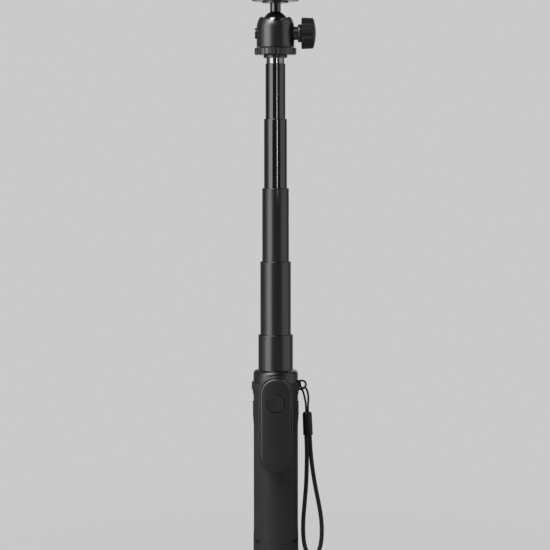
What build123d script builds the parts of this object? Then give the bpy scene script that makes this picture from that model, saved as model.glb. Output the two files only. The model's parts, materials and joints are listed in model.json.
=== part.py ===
"""Selfie stick tripod: a telescopic mast on a grip whose three legs fold up round it,
with a small ball head on top and a shutter remote parked in a cradle on the front.

Millimetres, +Z up. The origin is on the mast's axis, at the bottom of the base.
The remote faces -Y, and the ball head's clamp knob and the wrist strap are at +X.
The mast is drawn partly pulled out, with the legs folded round the outer tube.
"""

import os
from math import asin, cos, pi, radians, sin, sqrt, tan

from build123d import *

os.makedirs("parts", exist_ok=True)

# Fits
RUNNING_GAP = 0.08        # radial gap of a pin in its hole
SLIDE_GAP = 0.15          # radial gap of a tube or a ball in its seat
OPEN_GAP = 0.3            # gap between moving pieces that never touch
EDGE_BREAK = 0.4          # chamfer that takes the sharpness off a turned edge

# Base
BASE_RADIUS = 15.55
PAD_RADIUS = 12.6
PAD_THICKNESS = 1.2
CAP_THICKNESS = 4.8
CAP_EDGE = 1.4
CAP_SEAM = 0.25
BASE_SCREWS = 3
BASE_SCREW_CIRCLE = 8.6
BASE_SCREW_RADIUS = 1.25
BASE_SCREW_HEAD_RADIUS = 2.4
BASE_SCREW_HEAD = 1.6
BASE_SCREW_LENGTH = 10.5

# Grip
GRIP_RADIUS = 15.3
HUB_LINE_TOP = 20.5       # height of the fine groove round the hub
HUB_LINE_WIDTH = 0.5
HUB_LINE_DEPTH = 0.25
FLARE_BOTTOM = 23.4       # height where the grip starts to narrow
FLARE_TOP = 31.7
TUBE_SEAT = 32.2          # height of the shoulder that the outer tube stands on
SPIGOT_HEIGHT = 9.8
LEG_TURNS = {"right": 60, "left": -60, "back": 180}   # degrees from the front, towards +X

# Legs
LEG_HALF_WIDTH = 5.62
LEG_SIDE_GAP = 0.2
LEG_FACE_DROP = 0.05      # how far a folded leg lies below the grip's surface
LEG_WALL = 2.95
LEG_BOTTOM = 21.0
LEG_CORNER = 5.3          # rounding of the leg's lower end, seen from outside
LEG_PIVOT_HEIGHT = 28.0
LEG_BARREL = 2.2
HEEL_SLOPE_TOP = 30.0     # height where the leg's face starts to slope in to its heel
HEEL_THICKNESS = 0.8
POCKET_ROOF = 1.2         # wall between a hinge's pocket and the outer tube's end
CHANNEL_DEPTH = 1.4
CHANNEL_WALL = 1.3
PIN_RADIUS = 1.0
PIN_HALF_LENGTH = 7.4

# Feet
FOOT_LENGTH = 20.0
FOOT_PROUD = 0.85
FOOT_RIDGES = 4
FOOT_RIDGE_PITCH = 1.7
FOOT_RIDGE_DEPTH = 0.3
FOOT_CROWN = 1.2          # plain height above the ridges
TONGUE_LENGTH = 14.0
TONGUE_THICKNESS = 1.5
TONGUE_HALF_WIDTH = 4.3

# Rings at the top of the grip
LOWER_RING_BOTTOM = 118.9
LOWER_RING_RADIUS = 15.4
LOWER_RING_HEIGHT = 4.25
SHADOW_GROOVE = 0.4
STRAP_RING_RADIUS = 16.6
STRAP_RING_HEIGHT = 8.2
STRAP_RING_FOOT_RADIUS = 15.8
STRAP_RING_SLOPE_BOTTOM = 1.75   # heights above its bottom between which the strap ring widens
STRAP_RING_SLOPE_TOP = 3.65
COLLAR_RADIUS = 15.45
COLLAR_HEIGHT = 8.65
COLLAR_ROUNDING = 3.1
EYELET_PLACE = 17.0       # distance from the mast's axis to the centre of the tunnel's bend
EYELET_DROP = 2.3         # from the strap ring's top down to that centre
EYELET_BEND = 2.8
EYELET_RADIUS = 1.0

# Telescopic mast, from the inside out
TUBE_DIAMETERS = [13.7, 15.8, 18.4, 21.1]
TUBE_WALLS = [0.5, 0.5, 0.6, 0.6]
TUBES_SHOWN = [37.75, 47.6, 50.4, 50.4]   # how far each is pulled out of the next
TUBE_LENGTH = 124.0
OUTER_TUBE_DIAMETER = 23.9
OUTER_TUBE_WALL = 0.7
OUTER_TUBE_TOP = 164.35
LIP_HEIGHT = 3.6
LIP_ROUNDING = 0.5
LIP_LINE_DROP = 2.6       # from a tube's top down to the fine line round it
LIP_LINE_WIDTH = 0.35
LIP_LINE_DEPTH = 0.2
BUSH_HEIGHT = 12.0
BUSH_SLIT = 1.2           # width of the slit that lets a bush spring open

# Mast plug, collar and lock ring
NECK_RADIUS = 6.2
NECK_HEIGHT = 3.8
PLUG_DEPTH = 14.0
STUD_RADIUS = 3.0
HEAD_COLLAR_RADIUS = 8.2
HEAD_COLLAR_HEIGHT = 2.0
LOCK_RING_LIFT = 0.1
LOCK_RING_RADIUS = 14.35
LOCK_RING_HEIGHT = 4.85
LOCK_RING_GAP = 0.55      # open seam between the lock ring and the housing
LOCK_RING_CHAMFER = 0.6
LOCK_RING_FLUTES = 30
LOCK_RING_FLUTE_RADIUS = 0.5
LOCK_RING_FLUTE_DEPTH = 0.4

# Ball head
BALL_RADIUS = 9.0
BALL_RISE = 15.6          # from the housing's bottom up to the ball's centre
STEM_RADIUS = 3.65
STEM_COVE = 0.8
HOUSING_RADIUS = 12.9
RIM_RISE = 4.6            # from the ball's centre up to the housing's rim
HOUSING_SHOULDER = 7.55   # height over which the housing rounds in to its rim
RIM_OUTER_RADIUS = 10.7
RIM_INNER_RADIUS = 9.1
RETAINING_HEIGHT = 3.4    # from the ball's centre up to the end of the retaining lip
SADDLE_RISE = 1.6         # from the ball's centre up to the rim's dips, at the front and back
SADDLE_RADIUS = 13.9
FLOOR_THICKNESS = 2.6
SEAT_RADIUS = 8.85
SEAT_DROP = 8.75          # from the ball's centre down to the seat's rim
SIDE_SCREW_HEAD_RADIUS = 3.7
SIDE_SCREW_SEAT = 12.4
SIDE_SCREW_END = 14.1
SIDE_SCREW_RADIUS = 1.5
SIDE_SCREW_SLOT = 0.7
SIDE_SCREW_SLOT_TURN = 35  # degrees, wherever the screwdriver left it

# Clamp knob and its screw
CLAMP_DROP = 6.3          # from the ball's centre down to the clamp screw's axis
BOSS_RADIUS = 4.6
BOSS_END = 15.0
SCREW_RADIUS = 2.0
PRESSURE_PIN_END = 11.0
KNOB_COLLAR_RADIUS = 6.2
KNOB_COLLAR_LENGTH = 2.5
KNOB_RADIUS = 10.75
KNOB_TAPER = 0.4
KNOB_RIM = 26.1
KNOB_END = 27.65
KNOB_LOBES = 8
KNOB_SCALLOP_RADIUS = 2.6
KNOB_SCALLOP_DEPTH = 1.0
KNOB_TURN = 12            # degrees, wherever the knob was left
KNOB_EDGE = 0.6

# Camera platform
PLATFORM_RADIUS = 16.0
PLATFORM_RISE = 15.6      # from the ball's centre up to the platform's underside
PLATFORM_THICKNESS = 5.0
PLATFORM_NOTCHES = 30
PLATFORM_NOTCH_RADIUS = 0.65
PLATFORM_NOTCH_DEPTH = 0.45
PLATFORM_BOSS_RADIUS = 8.85
PLATFORM_BOSS_HEIGHT = 1.25
SPIGOT_RADIUS = 2.6
SPIGOT_REACH = 3.6
DECK_PAD_RADIUS = 14.4
DECK_PAD_THICKNESS = 1.5
DECK_GROOVES = 3
DECK_GROOVE_PITCH = 2.4
DECK_GROOVE_SIZE = 0.5
CAMERA_SCREW_RADIUS = 3.175
CAMERA_SCREW_REACH = 5.5
CAMERA_SCREW_CHAMFER = 0.6
CAMERA_SCREW_RELIEF = 0.4  # how far the shank is turned down where it passes the pad
CAMERA_SCREW_HEAD_RADIUS = 5.5
CAMERA_SCREW_HEAD = 1.4

# Remote and its cradle
CRADLE_WIDTH = 23.2
CRADLE_LENGTH = 66.3
CRADLE_DROP = 36.0        # from the top of the collar down to the cradle's centre
CRADLE_FLOOR = 1.2
CRADLE_RIM = 2.4
REMOTE_SIDE_GAP = 0.2
REMOTE_BACK_GAP = 0.1
REMOTE_WIDTH = 21.4
REMOTE_THICKNESS = 8.0
REMOTE_BEVEL_WIDTH = 1.8
REMOTE_BEVEL_DEPTH = 1.2
REMOTE_WALL = 0.6
REMOTE_FLOOR = 0.8
REMOTE_FACE = 1.4
PEDESTAL_HALF_WIDTH = 8.5
PEDESTAL_DROP = 30.6      # from the cradle's centre down to the end of its foot on the grip
PEDESTAL_RISE = 14.2
CRADLE_SCREW_RADIUS = 1.0
CRADLE_SCREW_HEAD_RADIUS = 1.9
CRADLE_SCREW_HEAD = 0.7
CRADLE_SCREW_LENGTH = 4.2
CRADLE_SCREW_SPACING = 30.0
BATTERY_RADIUS = 10.0
BATTERY_THICKNESS = 3.2
BATTERY_DROP = 17.5       # from the cradle's centre down to the battery's
BOARD_THICKNESS = 0.8
SWITCH_WIDTH = 4.0
SWITCH_THICKNESS = 0.45
BUTTON_RISE = 15.1        # from the cradle's centre up to the button's
BUTTON_RADIUS = 6.0
BUTTON_RING = 0.35
BUTTON_PROUD = 0.3
BUTTON_DISH = 0.35
BUTTON_TRAVEL = 0.5
BUTTON_FLANGE_RADIUS = 7.3
BUTTON_FLANGE = 0.6
BUTTON_LIFT = 0.05
BUTTON_STEM_RADIUS = 1.6

# Wrist strap
FERRULE_TOP = Vector(21.65, 0, 110.7)
FERRULE_BOTTOM = Vector(22.3, 0, 94.5)
FERRULE_TOP_RADIUS = 3.2
FERRULE_BOTTOM_RADIUS = 3.4
FERRULE_ROUNDING = 1.0
THIN_CORD_DIAMETER = 0.9
THIN_CORD_SPREAD = 0.5    # half the distance between the strands, away from the mast
THIN_CORD_DEPTH = 0.2     # half the distance between the strands, front to back
STRAP_DIAMETER = 3.0
STRAP_SPREAD = 1.15
STRAP_DEPTH = 1.05
THIN_CORD_EXIT = 4        # straight run of the thin cord out of the ferrule
STRAP_EXIT = 10
CORD_BEND_SHARE = 0.45    # share of the shorter of two runs that their arc takes

# Sizes that follow from the ones above
CAP_TOP = PAD_THICKNESS + CAP_THICKNESS
OUTER_TUBE_RADIUS = OUTER_TUBE_DIAMETER / 2
OUTER_TUBE_BORE = OUTER_TUBE_RADIUS - OUTER_TUBE_WALL
SPIGOT_TOP = TUBE_SEAT + SPIGOT_HEIGHT
LEG_OUTER_RADIUS = GRIP_RADIUS - LEG_FACE_DROP
LEG_INNER_RADIUS = LEG_OUTER_RADIUS - LEG_WALL
LEG_MIDDLE_RADIUS = LEG_OUTER_RADIUS - LEG_WALL / 2
LEG_TIP = LOWER_RING_BOTTOM - OPEN_GAP
SLOT_FLOOR = LEG_BOTTOM - OPEN_GAP
POCKET_TOP = TUBE_SEAT - POCKET_ROOF
FOOT_BOTTOM = LEG_TIP - FOOT_LENGTH
FOOT_RADIUS = LEG_OUTER_RADIUS + FOOT_PROUD
STRAP_RING_BOTTOM = LOWER_RING_BOTTOM + LOWER_RING_HEIGHT
STRAP_RING_TOP = STRAP_RING_BOTTOM + STRAP_RING_HEIGHT
LOWER_RING_TOP = STRAP_RING_BOTTOM - SHADOW_GROOVE
COLLAR_TOP = STRAP_RING_TOP + COLLAR_HEIGHT
EYELET = Vector(EYELET_PLACE, 0, STRAP_RING_TOP - EYELET_DROP)
TUBE_TOPS = [OUTER_TUBE_TOP + sum(TUBES_SHOWN[index:]) for index in range(len(TUBES_SHOWN))]
MAST_TOP = TUBE_TOPS[0]
NECK_TOP = MAST_TOP + NECK_HEIGHT
LOCK_RING_BOTTOM = NECK_TOP + HEAD_COLLAR_HEIGHT + LOCK_RING_LIFT
HOUSING_BOTTOM = LOCK_RING_BOTTOM + LOCK_RING_HEIGHT + LOCK_RING_GAP
BALL_HEIGHT = HOUSING_BOTTOM + BALL_RISE
HOUSING_RIM = BALL_HEIGHT + RIM_RISE
CLAMP_HEIGHT = BALL_HEIGHT - CLAMP_DROP
FLOOR_TOP = HOUSING_BOTTOM + FLOOR_THICKNESS
HOUSING_BORE = BALL_RADIUS + SLIDE_GAP
SEAT_TOP = BALL_HEIGHT - SEAT_DROP
PLATFORM_BOTTOM = BALL_HEIGHT + PLATFORM_RISE
PLATFORM_TOP = PLATFORM_BOTTOM + PLATFORM_THICKNESS
DECK_TOP = PLATFORM_TOP + DECK_PAD_THICKNESS
STEM_TOP = PLATFORM_BOTTOM - PLATFORM_BOSS_HEIGHT - RUNNING_GAP
CLAMP_SCREW_START = PRESSURE_PIN_END + RUNNING_GAP
KNOB_START = BOSS_END + OPEN_GAP + KNOB_COLLAR_LENGTH
CRADLE_CENTRE = COLLAR_TOP - CRADLE_DROP
PEDESTAL_BOTTOM = CRADLE_CENTRE - PEDESTAL_DROP
PEDESTAL_TOP = CRADLE_CENTRE + PEDESTAL_RISE
BATTERY_HEIGHT = CRADLE_CENTRE - BATTERY_DROP
BUTTON_HEIGHT = CRADLE_CENTRE + BUTTON_RISE
CRADLE_BACK = STRAP_RING_RADIUS + SLIDE_GAP
CRADLE_FACE = CRADLE_BACK + CRADLE_FLOOR
POCKET_WIDTH = REMOTE_WIDTH + 2 * REMOTE_SIDE_GAP
CRADLE_WALL = (CRADLE_WIDTH - POCKET_WIDTH) / 2
POCKET_LENGTH = CRADLE_LENGTH - 2 * CRADLE_WALL
REMOTE_LENGTH = POCKET_LENGTH - 2 * REMOTE_SIDE_GAP
REMOTE_REAR = CRADLE_FACE + REMOTE_BACK_GAP
REMOTE_SPLIT = REMOTE_REAR + REMOTE_FLOOR + BATTERY_THICKNESS
REMOTE_FRONT = REMOTE_REAR + REMOTE_THICKNESS
FACE_BACK = REMOTE_FRONT - REMOTE_FACE
BOARD_FRONT = REMOTE_SPLIT + BOARD_THICKNESS
SWITCH_FRONT = BOARD_FRONT + SWITCH_THICKNESS
FERRULE_AXIS = (FERRULE_TOP - FERRULE_BOTTOM).normalized()
FERRULE_ACROSS = Vector(0, 1, 0).cross(FERRULE_AXIS)
BOTTOM = (Align.CENTER, Align.CENTER, Align.MIN)


def save(builder, label):
    """Label a finished piece and write it to its own file."""
    builder.part.label = label
    export_step(builder.part, f"parts/{label}.step")


def turned(solid, turn):
    """The same solid, turned about the mast's axis from the front towards +X."""
    return Rot(0, 0, turn) * solid


def front_plane(depth):
    """A plane that faces the front, at this distance in front of the mast's axis."""
    return Plane.XZ.offset(depth)


def largest_rims(builder, count):
    """The circular edges with the largest radii, lowest first."""
    circles = builder.edges().filter_by(GeomType.CIRCLE).sort_by(SortBy.RADIUS)
    return circles[-count:].sort_by(Axis.Z)


# Base
def screw_circle(radius, bottom, height, mode=Mode.ADD):
    """Upright cylinders on the base screws' circle."""
    with BuildSketch(Plane.XY.offset(bottom)) as discs:
        with PolarLocations(BASE_SCREW_CIRCLE, BASE_SCREWS):
            Circle(radius)
    extrude(discs.sketch, amount=height, mode=mode)


def make_base_pad():
    with BuildPart() as base_pad:
        with BuildSketch():
            Circle(PAD_RADIUS)
        extrude(amount=PAD_THICKNESS)
        chamfer(base_pad.edges().group_by(Axis.Z)[0], EDGE_BREAK)
    save(base_pad, "base_pad")


def make_base_cap():
    """The moulded cap that closes the grip from below, with sunk screw heads."""
    with BuildPart() as base_cap:
        with BuildSketch(Plane.XY.offset(PAD_THICKNESS)):
            Circle(BASE_RADIUS)
        extrude(amount=CAP_THICKNESS)
        fillet(base_cap.edges().group_by(Axis.Z)[0], CAP_EDGE)
        chamfer(base_cap.edges().group_by(Axis.Z)[-1], CAP_SEAM)
        screw_circle(BASE_SCREW_HEAD_RADIUS, PAD_THICKNESS, BASE_SCREW_HEAD, Mode.SUBTRACT)
        screw_circle(BASE_SCREW_RADIUS, PAD_THICKNESS, CAP_THICKNESS, Mode.SUBTRACT)
    save(base_cap, "base_cap")


def make_base_screws():
    with BuildPart() as base_screws:
        screw_circle(BASE_SCREW_HEAD_RADIUS, PAD_THICKNESS, BASE_SCREW_HEAD)
        screw_circle(BASE_SCREW_RADIUS, PAD_THICKNESS, BASE_SCREW_LENGTH)
    save(base_screws, "base_screws")


# Grip
def strip_prism(start, half_width, bottom, top, corner):
    """A leg's outline, a tall strip with a rounded lower end, run out to the front."""
    with BuildPart() as prism:
        with BuildSketch(front_plane(start)) as outline:
            with Locations((0, bottom)):
                Rectangle(2 * half_width, top - bottom, align=(Align.CENTER, Align.MIN))
            fillet(outline.vertices().group_by(Axis.Y)[0], corner)
        extrude(amount=BASE_RADIUS)
    return prism.part


def leg_slot():
    """The space that one leg folds into, at the front: a slot, and a pocket that its heel turns in."""
    heel_swing = sqrt((LEG_PIVOT_HEIGHT - LEG_BOTTOM) ** 2 + HEEL_THICKNESS ** 2)
    prism = strip_prism(LEG_INNER_RADIUS - heel_swing - OPEN_GAP, LEG_HALF_WIDTH + LEG_SIDE_GAP,
                        SLOT_FLOOR, LOWER_RING_BOTTOM + OPEN_GAP, LEG_CORNER + LEG_SIDE_GAP)
    with BuildPart() as slot:
        add(prism)
        with BuildSketch(Plane.XY.offset(POCKET_TOP)):
            Circle(OUTER_TUBE_RADIUS)
        extrude(amount=LOWER_RING_BOTTOM, mode=Mode.SUBTRACT)
    return slot.part


def hinge_rod(radius, half_length, mode=Mode.ADD):
    """A rod on the front leg's hinge, which lies along X on the leg's inner face."""
    with BuildSketch(Plane.YZ) as disc:
        with Locations((-LEG_INNER_RADIUS, LEG_PIVOT_HEIGHT)):
            Circle(radius)
    extrude(disc.sketch, amount=half_length, both=True, mode=mode)


def hinge_pin():
    with BuildPart() as pin:
        hinge_rod(PIN_RADIUS, PIN_HALF_LENGTH)
    return pin.part


def cradle_screw_heights():
    middle = (PEDESTAL_BOTTOM + PEDESTAL_TOP) / 2
    return [middle - CRADLE_SCREW_SPACING / 2, middle + CRADLE_SCREW_SPACING / 2]


def cradle_screw_rods(radius, outer, depth, mode=Mode.ADD):
    """Cylinders on the two cradle screws' axes, from this plane inwards."""
    with BuildSketch(front_plane(outer)) as discs:
        for height in cradle_screw_heights():
            with Locations((0, height)):
                Circle(radius)
    extrude(discs.sketch, amount=-depth, mode=mode)


def make_grip_body():
    """The hub below, and three spines between the legs' slots above it."""
    slot = leg_slot()
    pin = hinge_pin()
    with BuildPart() as grip_body:
        with BuildSketch(Plane.XZ):
            with BuildLine():
                Polyline(
                    (0, CAP_TOP), (BASE_RADIUS - CAP_SEAM, CAP_TOP),
                    (BASE_RADIUS, CAP_TOP + CAP_SEAM), (BASE_RADIUS, HUB_LINE_TOP - HUB_LINE_WIDTH),
                    (BASE_RADIUS - HUB_LINE_DEPTH, HUB_LINE_TOP - HUB_LINE_WIDTH / 2),
                    (BASE_RADIUS, HUB_LINE_TOP), (BASE_RADIUS, FLARE_BOTTOM),
                    (GRIP_RADIUS, FLARE_TOP), (GRIP_RADIUS, LOWER_RING_BOTTOM),
                    (OUTER_TUBE_RADIUS, LOWER_RING_BOTTOM), (OUTER_TUBE_RADIUS, TUBE_SEAT),
                    (OUTER_TUBE_BORE, TUBE_SEAT), (OUTER_TUBE_BORE, SPIGOT_TOP), (0, SPIGOT_TOP),
                    close=True,
                )
            make_face()
        revolve(axis=Axis.Z)
        for turn in LEG_TURNS.values():
            add(turned(slot, turn), mode=Mode.SUBTRACT)
            add(turned(pin, turn), mode=Mode.SUBTRACT)
        screw_circle(BASE_SCREW_RADIUS, CAP_TOP, BASE_SCREW_LENGTH - CAP_THICKNESS, Mode.SUBTRACT)
        cradle_screw_rods(CRADLE_SCREW_RADIUS, CRADLE_FACE, CRADLE_SCREW_LENGTH, Mode.SUBTRACT)
    save(grip_body, "grip_body")


# Legs, feet and hinge pins
def foot_tongue():
    """The end of the front leg that its rubber foot is moulded round."""
    with BuildPart() as tongue:
        with BuildSketch(Plane.XY.offset(FOOT_BOTTOM)):
            Circle(LEG_MIDDLE_RADIUS + TONGUE_THICKNESS / 2)
            Circle(LEG_MIDDLE_RADIUS - TONGUE_THICKNESS / 2, mode=Mode.SUBTRACT)
            with Locations((0, -LEG_MIDDLE_RADIUS)):
                Rectangle(2 * TONGUE_HALF_WIDTH, 4 * LEG_WALL, mode=Mode.INTERSECT)
        extrude(amount=TONGUE_LENGTH)
    return tongue.part


def make_leg(side, turn):
    """A curved strip that closes its slot, with a channel inside and a hinge barrel near its end."""
    channel_bottom = LEG_PIVOT_HEIGHT + 2 * LEG_BARREL
    outline = strip_prism(0, LEG_HALF_WIDTH, LEG_BOTTOM, FOOT_BOTTOM, LEG_CORNER)
    tongue = foot_tongue()
    with BuildPart() as strip:
        with BuildSketch(Plane.XY.offset(LEG_BOTTOM)):
            Circle(LEG_OUTER_RADIUS)
            Circle(LEG_INNER_RADIUS, mode=Mode.SUBTRACT)
        extrude(amount=FOOT_BOTTOM - LEG_BOTTOM)
        hinge_rod(LEG_BARREL, LEG_HALF_WIDTH)
        add(outline, mode=Mode.INTERSECT)
        with BuildSketch(Plane.XY.offset(LEG_BOTTOM)):
            Circle(LEG_OUTER_RADIUS)
        extrude(amount=FOOT_BOTTOM - LEG_BOTTOM, mode=Mode.INTERSECT)
        with BuildSketch(Plane.YZ):
            with BuildLine():
                Polyline((-LEG_OUTER_RADIUS, HEEL_SLOPE_TOP), (-LEG_OUTER_RADIUS, LEG_BOTTOM),
                         (-LEG_INNER_RADIUS - HEEL_THICKNESS, LEG_BOTTOM), close=True)
            make_face()
        extrude(amount=LEG_HALF_WIDTH, both=True, mode=Mode.SUBTRACT)
        with BuildSketch(Plane.XY.offset(channel_bottom)):
            Circle(LEG_INNER_RADIUS + CHANNEL_DEPTH)
            with Locations((0, -LEG_INNER_RADIUS)):
                Rectangle(2 * (LEG_HALF_WIDTH - CHANNEL_WALL), 4 * LEG_WALL, mode=Mode.INTERSECT)
        extrude(amount=FOOT_BOTTOM - CHANNEL_WALL - channel_bottom, mode=Mode.SUBTRACT)
        hinge_rod(PIN_RADIUS + RUNNING_GAP, LEG_HALF_WIDTH, Mode.SUBTRACT)
        add(tongue)
    with BuildPart() as leg:
        add(turned(strip.part, turn))
    save(leg, f"leg_{side}")


def make_foot(side, turn):
    """A rubber foot, proud of the leg, ridged near its tip and tapering down into the leg."""
    ridges_bottom = LEG_TIP - FOOT_CROWN - FOOT_RIDGES * FOOT_RIDGE_PITCH
    tongue = foot_tongue()
    with BuildPart() as pad:
        with BuildSketch(Plane.XZ):
            with BuildLine():
                Polyline(
                    (LEG_INNER_RADIUS, FOOT_BOTTOM), (LEG_OUTER_RADIUS, FOOT_BOTTOM),
                    (FOOT_RADIUS, ridges_bottom), (FOOT_RADIUS, LEG_TIP - EDGE_BREAK),
                    (FOOT_RADIUS - EDGE_BREAK, LEG_TIP), (LEG_INNER_RADIUS, LEG_TIP),
                    close=True,
                )
            make_face()
            for index in range(FOOT_RIDGES):
                with Locations((FOOT_RADIUS, ridges_bottom + (index + 0.5) * FOOT_RIDGE_PITCH)):
                    Rectangle(2 * FOOT_RIDGE_DEPTH, FOOT_RIDGE_PITCH / 3, mode=Mode.SUBTRACT)
        revolve(axis=Axis.Z)
        with BuildSketch(Plane.XY.offset(FOOT_BOTTOM)):
            with Locations((0, -FOOT_RADIUS)):
                Rectangle(2 * LEG_HALF_WIDTH, FOOT_RADIUS)
        extrude(amount=FOOT_LENGTH, mode=Mode.INTERSECT)
        add(tongue, mode=Mode.SUBTRACT)
    with BuildPart() as foot:
        add(turned(pad.part, turn))
    save(foot, f"foot_{side}")


def make_hinge_pin(side, turn):
    pin = hinge_pin()
    with BuildPart() as placed_pin:
        add(turned(pin, turn))
    save(placed_pin, f"hinge_pin_{side}")


# Rings at the top of the grip
def make_lower_ring():
    step_radius = LOWER_RING_RADIUS - 2 * SHADOW_GROOVE
    with BuildPart() as lower_ring:
        with BuildSketch(Plane.XZ):
            with BuildLine():
                Polyline(
                    (OUTER_TUBE_RADIUS, LOWER_RING_BOTTOM), (LOWER_RING_RADIUS, LOWER_RING_BOTTOM),
                    (LOWER_RING_RADIUS, LOWER_RING_TOP), (step_radius, LOWER_RING_TOP),
                    (step_radius, STRAP_RING_BOTTOM), (OUTER_TUBE_RADIUS, STRAP_RING_BOTTOM),
                    close=True,
                )
            make_face()
        revolve(axis=Axis.Z)
    save(lower_ring, "lower_ring")


def eyelet_tunnel():
    """The round bend that the thin cord runs through, cut out of the part being built."""
    with Locations(EYELET):
        Torus(EYELET_BEND, EYELET_RADIUS, rotation=(90, 0, 0), mode=Mode.SUBTRACT)


def make_strap_ring():
    """The widest ring, with a bent tunnel at +X that comes in at its top and out at its side."""
    slope_bottom = STRAP_RING_BOTTOM + STRAP_RING_SLOPE_BOTTOM
    slope_top = STRAP_RING_BOTTOM + STRAP_RING_SLOPE_TOP
    with BuildPart() as strap_ring:
        with BuildSketch(Plane.XZ):
            with BuildLine():
                Polyline(
                    (OUTER_TUBE_RADIUS, STRAP_RING_BOTTOM), (STRAP_RING_FOOT_RADIUS, STRAP_RING_BOTTOM),
                    (STRAP_RING_FOOT_RADIUS, slope_bottom), (STRAP_RING_RADIUS, slope_top),
                    (STRAP_RING_RADIUS, STRAP_RING_TOP), (OUTER_TUBE_RADIUS, STRAP_RING_TOP),
                    close=True,
                )
            make_face()
        revolve(axis=Axis.Z)
        eyelet_tunnel()
    save(strap_ring, "strap_ring")


def make_top_collar():
    with BuildPart() as top_collar:
        with BuildSketch(Plane.XY.offset(STRAP_RING_TOP)):
            Circle(COLLAR_RADIUS)
            Circle(OUTER_TUBE_RADIUS, mode=Mode.SUBTRACT)
        extrude(amount=COLLAR_HEIGHT)
        fillet(largest_rims(top_collar, 2)[-1], COLLAR_ROUNDING)
        eyelet_tunnel()
    save(top_collar, "top_collar")


# Telescopic mast
def make_tube(label, radius, wall, top, bottom, lip_bore):
    """One drawn tube: its top is turned in to a lip, with a fine line round it."""
    bore = radius - wall
    line_top = top - LIP_LINE_DROP
    line_bottom = line_top - LIP_LINE_WIDTH
    with BuildPart() as tube:
        with BuildSketch(Plane.XZ):
            with BuildLine():
                Polyline(
                    (radius, top), (radius, line_top), (radius - LIP_LINE_DEPTH, line_top),
                    (radius - LIP_LINE_DEPTH, line_bottom), (radius, line_bottom),
                    (radius, bottom), (bore, bottom), (bore, top - LIP_HEIGHT),
                    (lip_bore, top - LIP_HEIGHT + bore - lip_bore), (lip_bore, top),
                    close=True,
                )
            make_face()
        revolve(axis=Axis.Z)
        fillet(tube.edges().group_by(Axis.Z)[-1].sort_by(SortBy.RADIUS)[-1], LIP_ROUNDING)
    save(tube, label)


def make_tubes():
    tube_radii = [diameter / 2 for diameter in TUBE_DIAMETERS]
    lip_bores = [NECK_RADIUS] + [radius + SLIDE_GAP for radius in tube_radii]
    for index, radius in enumerate(tube_radii):
        top = TUBE_TOPS[index]
        make_tube(f"tube_{index + 1}", radius, TUBE_WALLS[index], top, top - TUBE_LENGTH, lip_bores[index])
    make_tube("outer_tube", OUTER_TUBE_RADIUS, OUTER_TUBE_WALL, OUTER_TUBE_TOP, TUBE_SEAT, lip_bores[-1])


def make_bushes():
    """Split plastic sleeves on the tubes' lower ends, which drag inside the next tube."""
    bores = [diameter / 2 - wall for diameter, wall in zip(TUBE_DIAMETERS, TUBE_WALLS)]
    bores.append(OUTER_TUBE_BORE)
    for index, diameter in enumerate(TUBE_DIAMETERS):
        outer = bores[index + 1] - SLIDE_GAP
        with BuildPart() as bush:
            with BuildSketch(Plane.XY.offset(TUBE_TOPS[index] - TUBE_LENGTH)):
                Circle(outer)
                Circle(diameter / 2, mode=Mode.SUBTRACT)
                with Locations((0, outer)):
                    Rectangle(BUSH_SLIT, outer, mode=Mode.SUBTRACT)
            extrude(amount=BUSH_HEIGHT)
        save(bush, f"bush_{index + 1}")


def make_mast_plug():
    """The bright plug pressed into the slimmest tube, with the stud that carries the head."""
    plug_radius = TUBE_DIAMETERS[0] / 2 - TUBE_WALLS[0]
    shoulder = MAST_TOP - LIP_HEIGHT
    with BuildPart() as mast_plug:
        with BuildSketch(Plane.XZ):
            with BuildLine():
                Polyline(
                    (0, MAST_TOP - PLUG_DEPTH), (plug_radius, MAST_TOP - PLUG_DEPTH), (plug_radius, shoulder),
                    (NECK_RADIUS, shoulder + plug_radius - NECK_RADIUS), (NECK_RADIUS, NECK_TOP),
                    (STUD_RADIUS, NECK_TOP), (STUD_RADIUS, FLOOR_TOP), (0, FLOOR_TOP),
                    close=True,
                )
            make_face()
        revolve(axis=Axis.Z)
    save(mast_plug, "mast_plug")


def make_head_collar():
    with BuildPart() as head_collar:
        with BuildSketch(Plane.XY.offset(NECK_TOP)):
            Circle(HEAD_COLLAR_RADIUS)
            Circle(STUD_RADIUS, mode=Mode.SUBTRACT)
        extrude(amount=HEAD_COLLAR_HEIGHT)
        chamfer(largest_rims(head_collar, 2), EDGE_BREAK)
    save(head_collar, "head_collar")


def make_lock_ring():
    """The fluted ring that is turned by hand to lock the head on its stud."""
    with BuildPart() as lock_ring:
        with BuildSketch(Plane.XY.offset(LOCK_RING_BOTTOM)):
            Circle(LOCK_RING_RADIUS)
        extrude(amount=LOCK_RING_HEIGHT)
        chamfer(largest_rims(lock_ring, 2), LOCK_RING_CHAMFER)
        with BuildSketch(Plane.XY.offset(LOCK_RING_BOTTOM)):
            Circle(STUD_RADIUS + RUNNING_GAP)
            with PolarLocations(LOCK_RING_RADIUS + LOCK_RING_FLUTE_RADIUS - LOCK_RING_FLUTE_DEPTH,
                                LOCK_RING_FLUTES):
                Circle(LOCK_RING_FLUTE_RADIUS)
        extrude(amount=LOCK_RING_HEIGHT, mode=Mode.SUBTRACT)
    save(lock_ring, "lock_ring")


# Ball head
def clamp_rod(radius, start, length, mode=Mode.ADD):
    """A cylinder on the clamp screw's axis, from this distance along X."""
    with BuildSketch(Plane.YZ.offset(start)) as disc:
        with Locations((0, CLAMP_HEIGHT)):
            Circle(radius)
    extrude(disc.sketch, amount=length, mode=mode)


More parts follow.
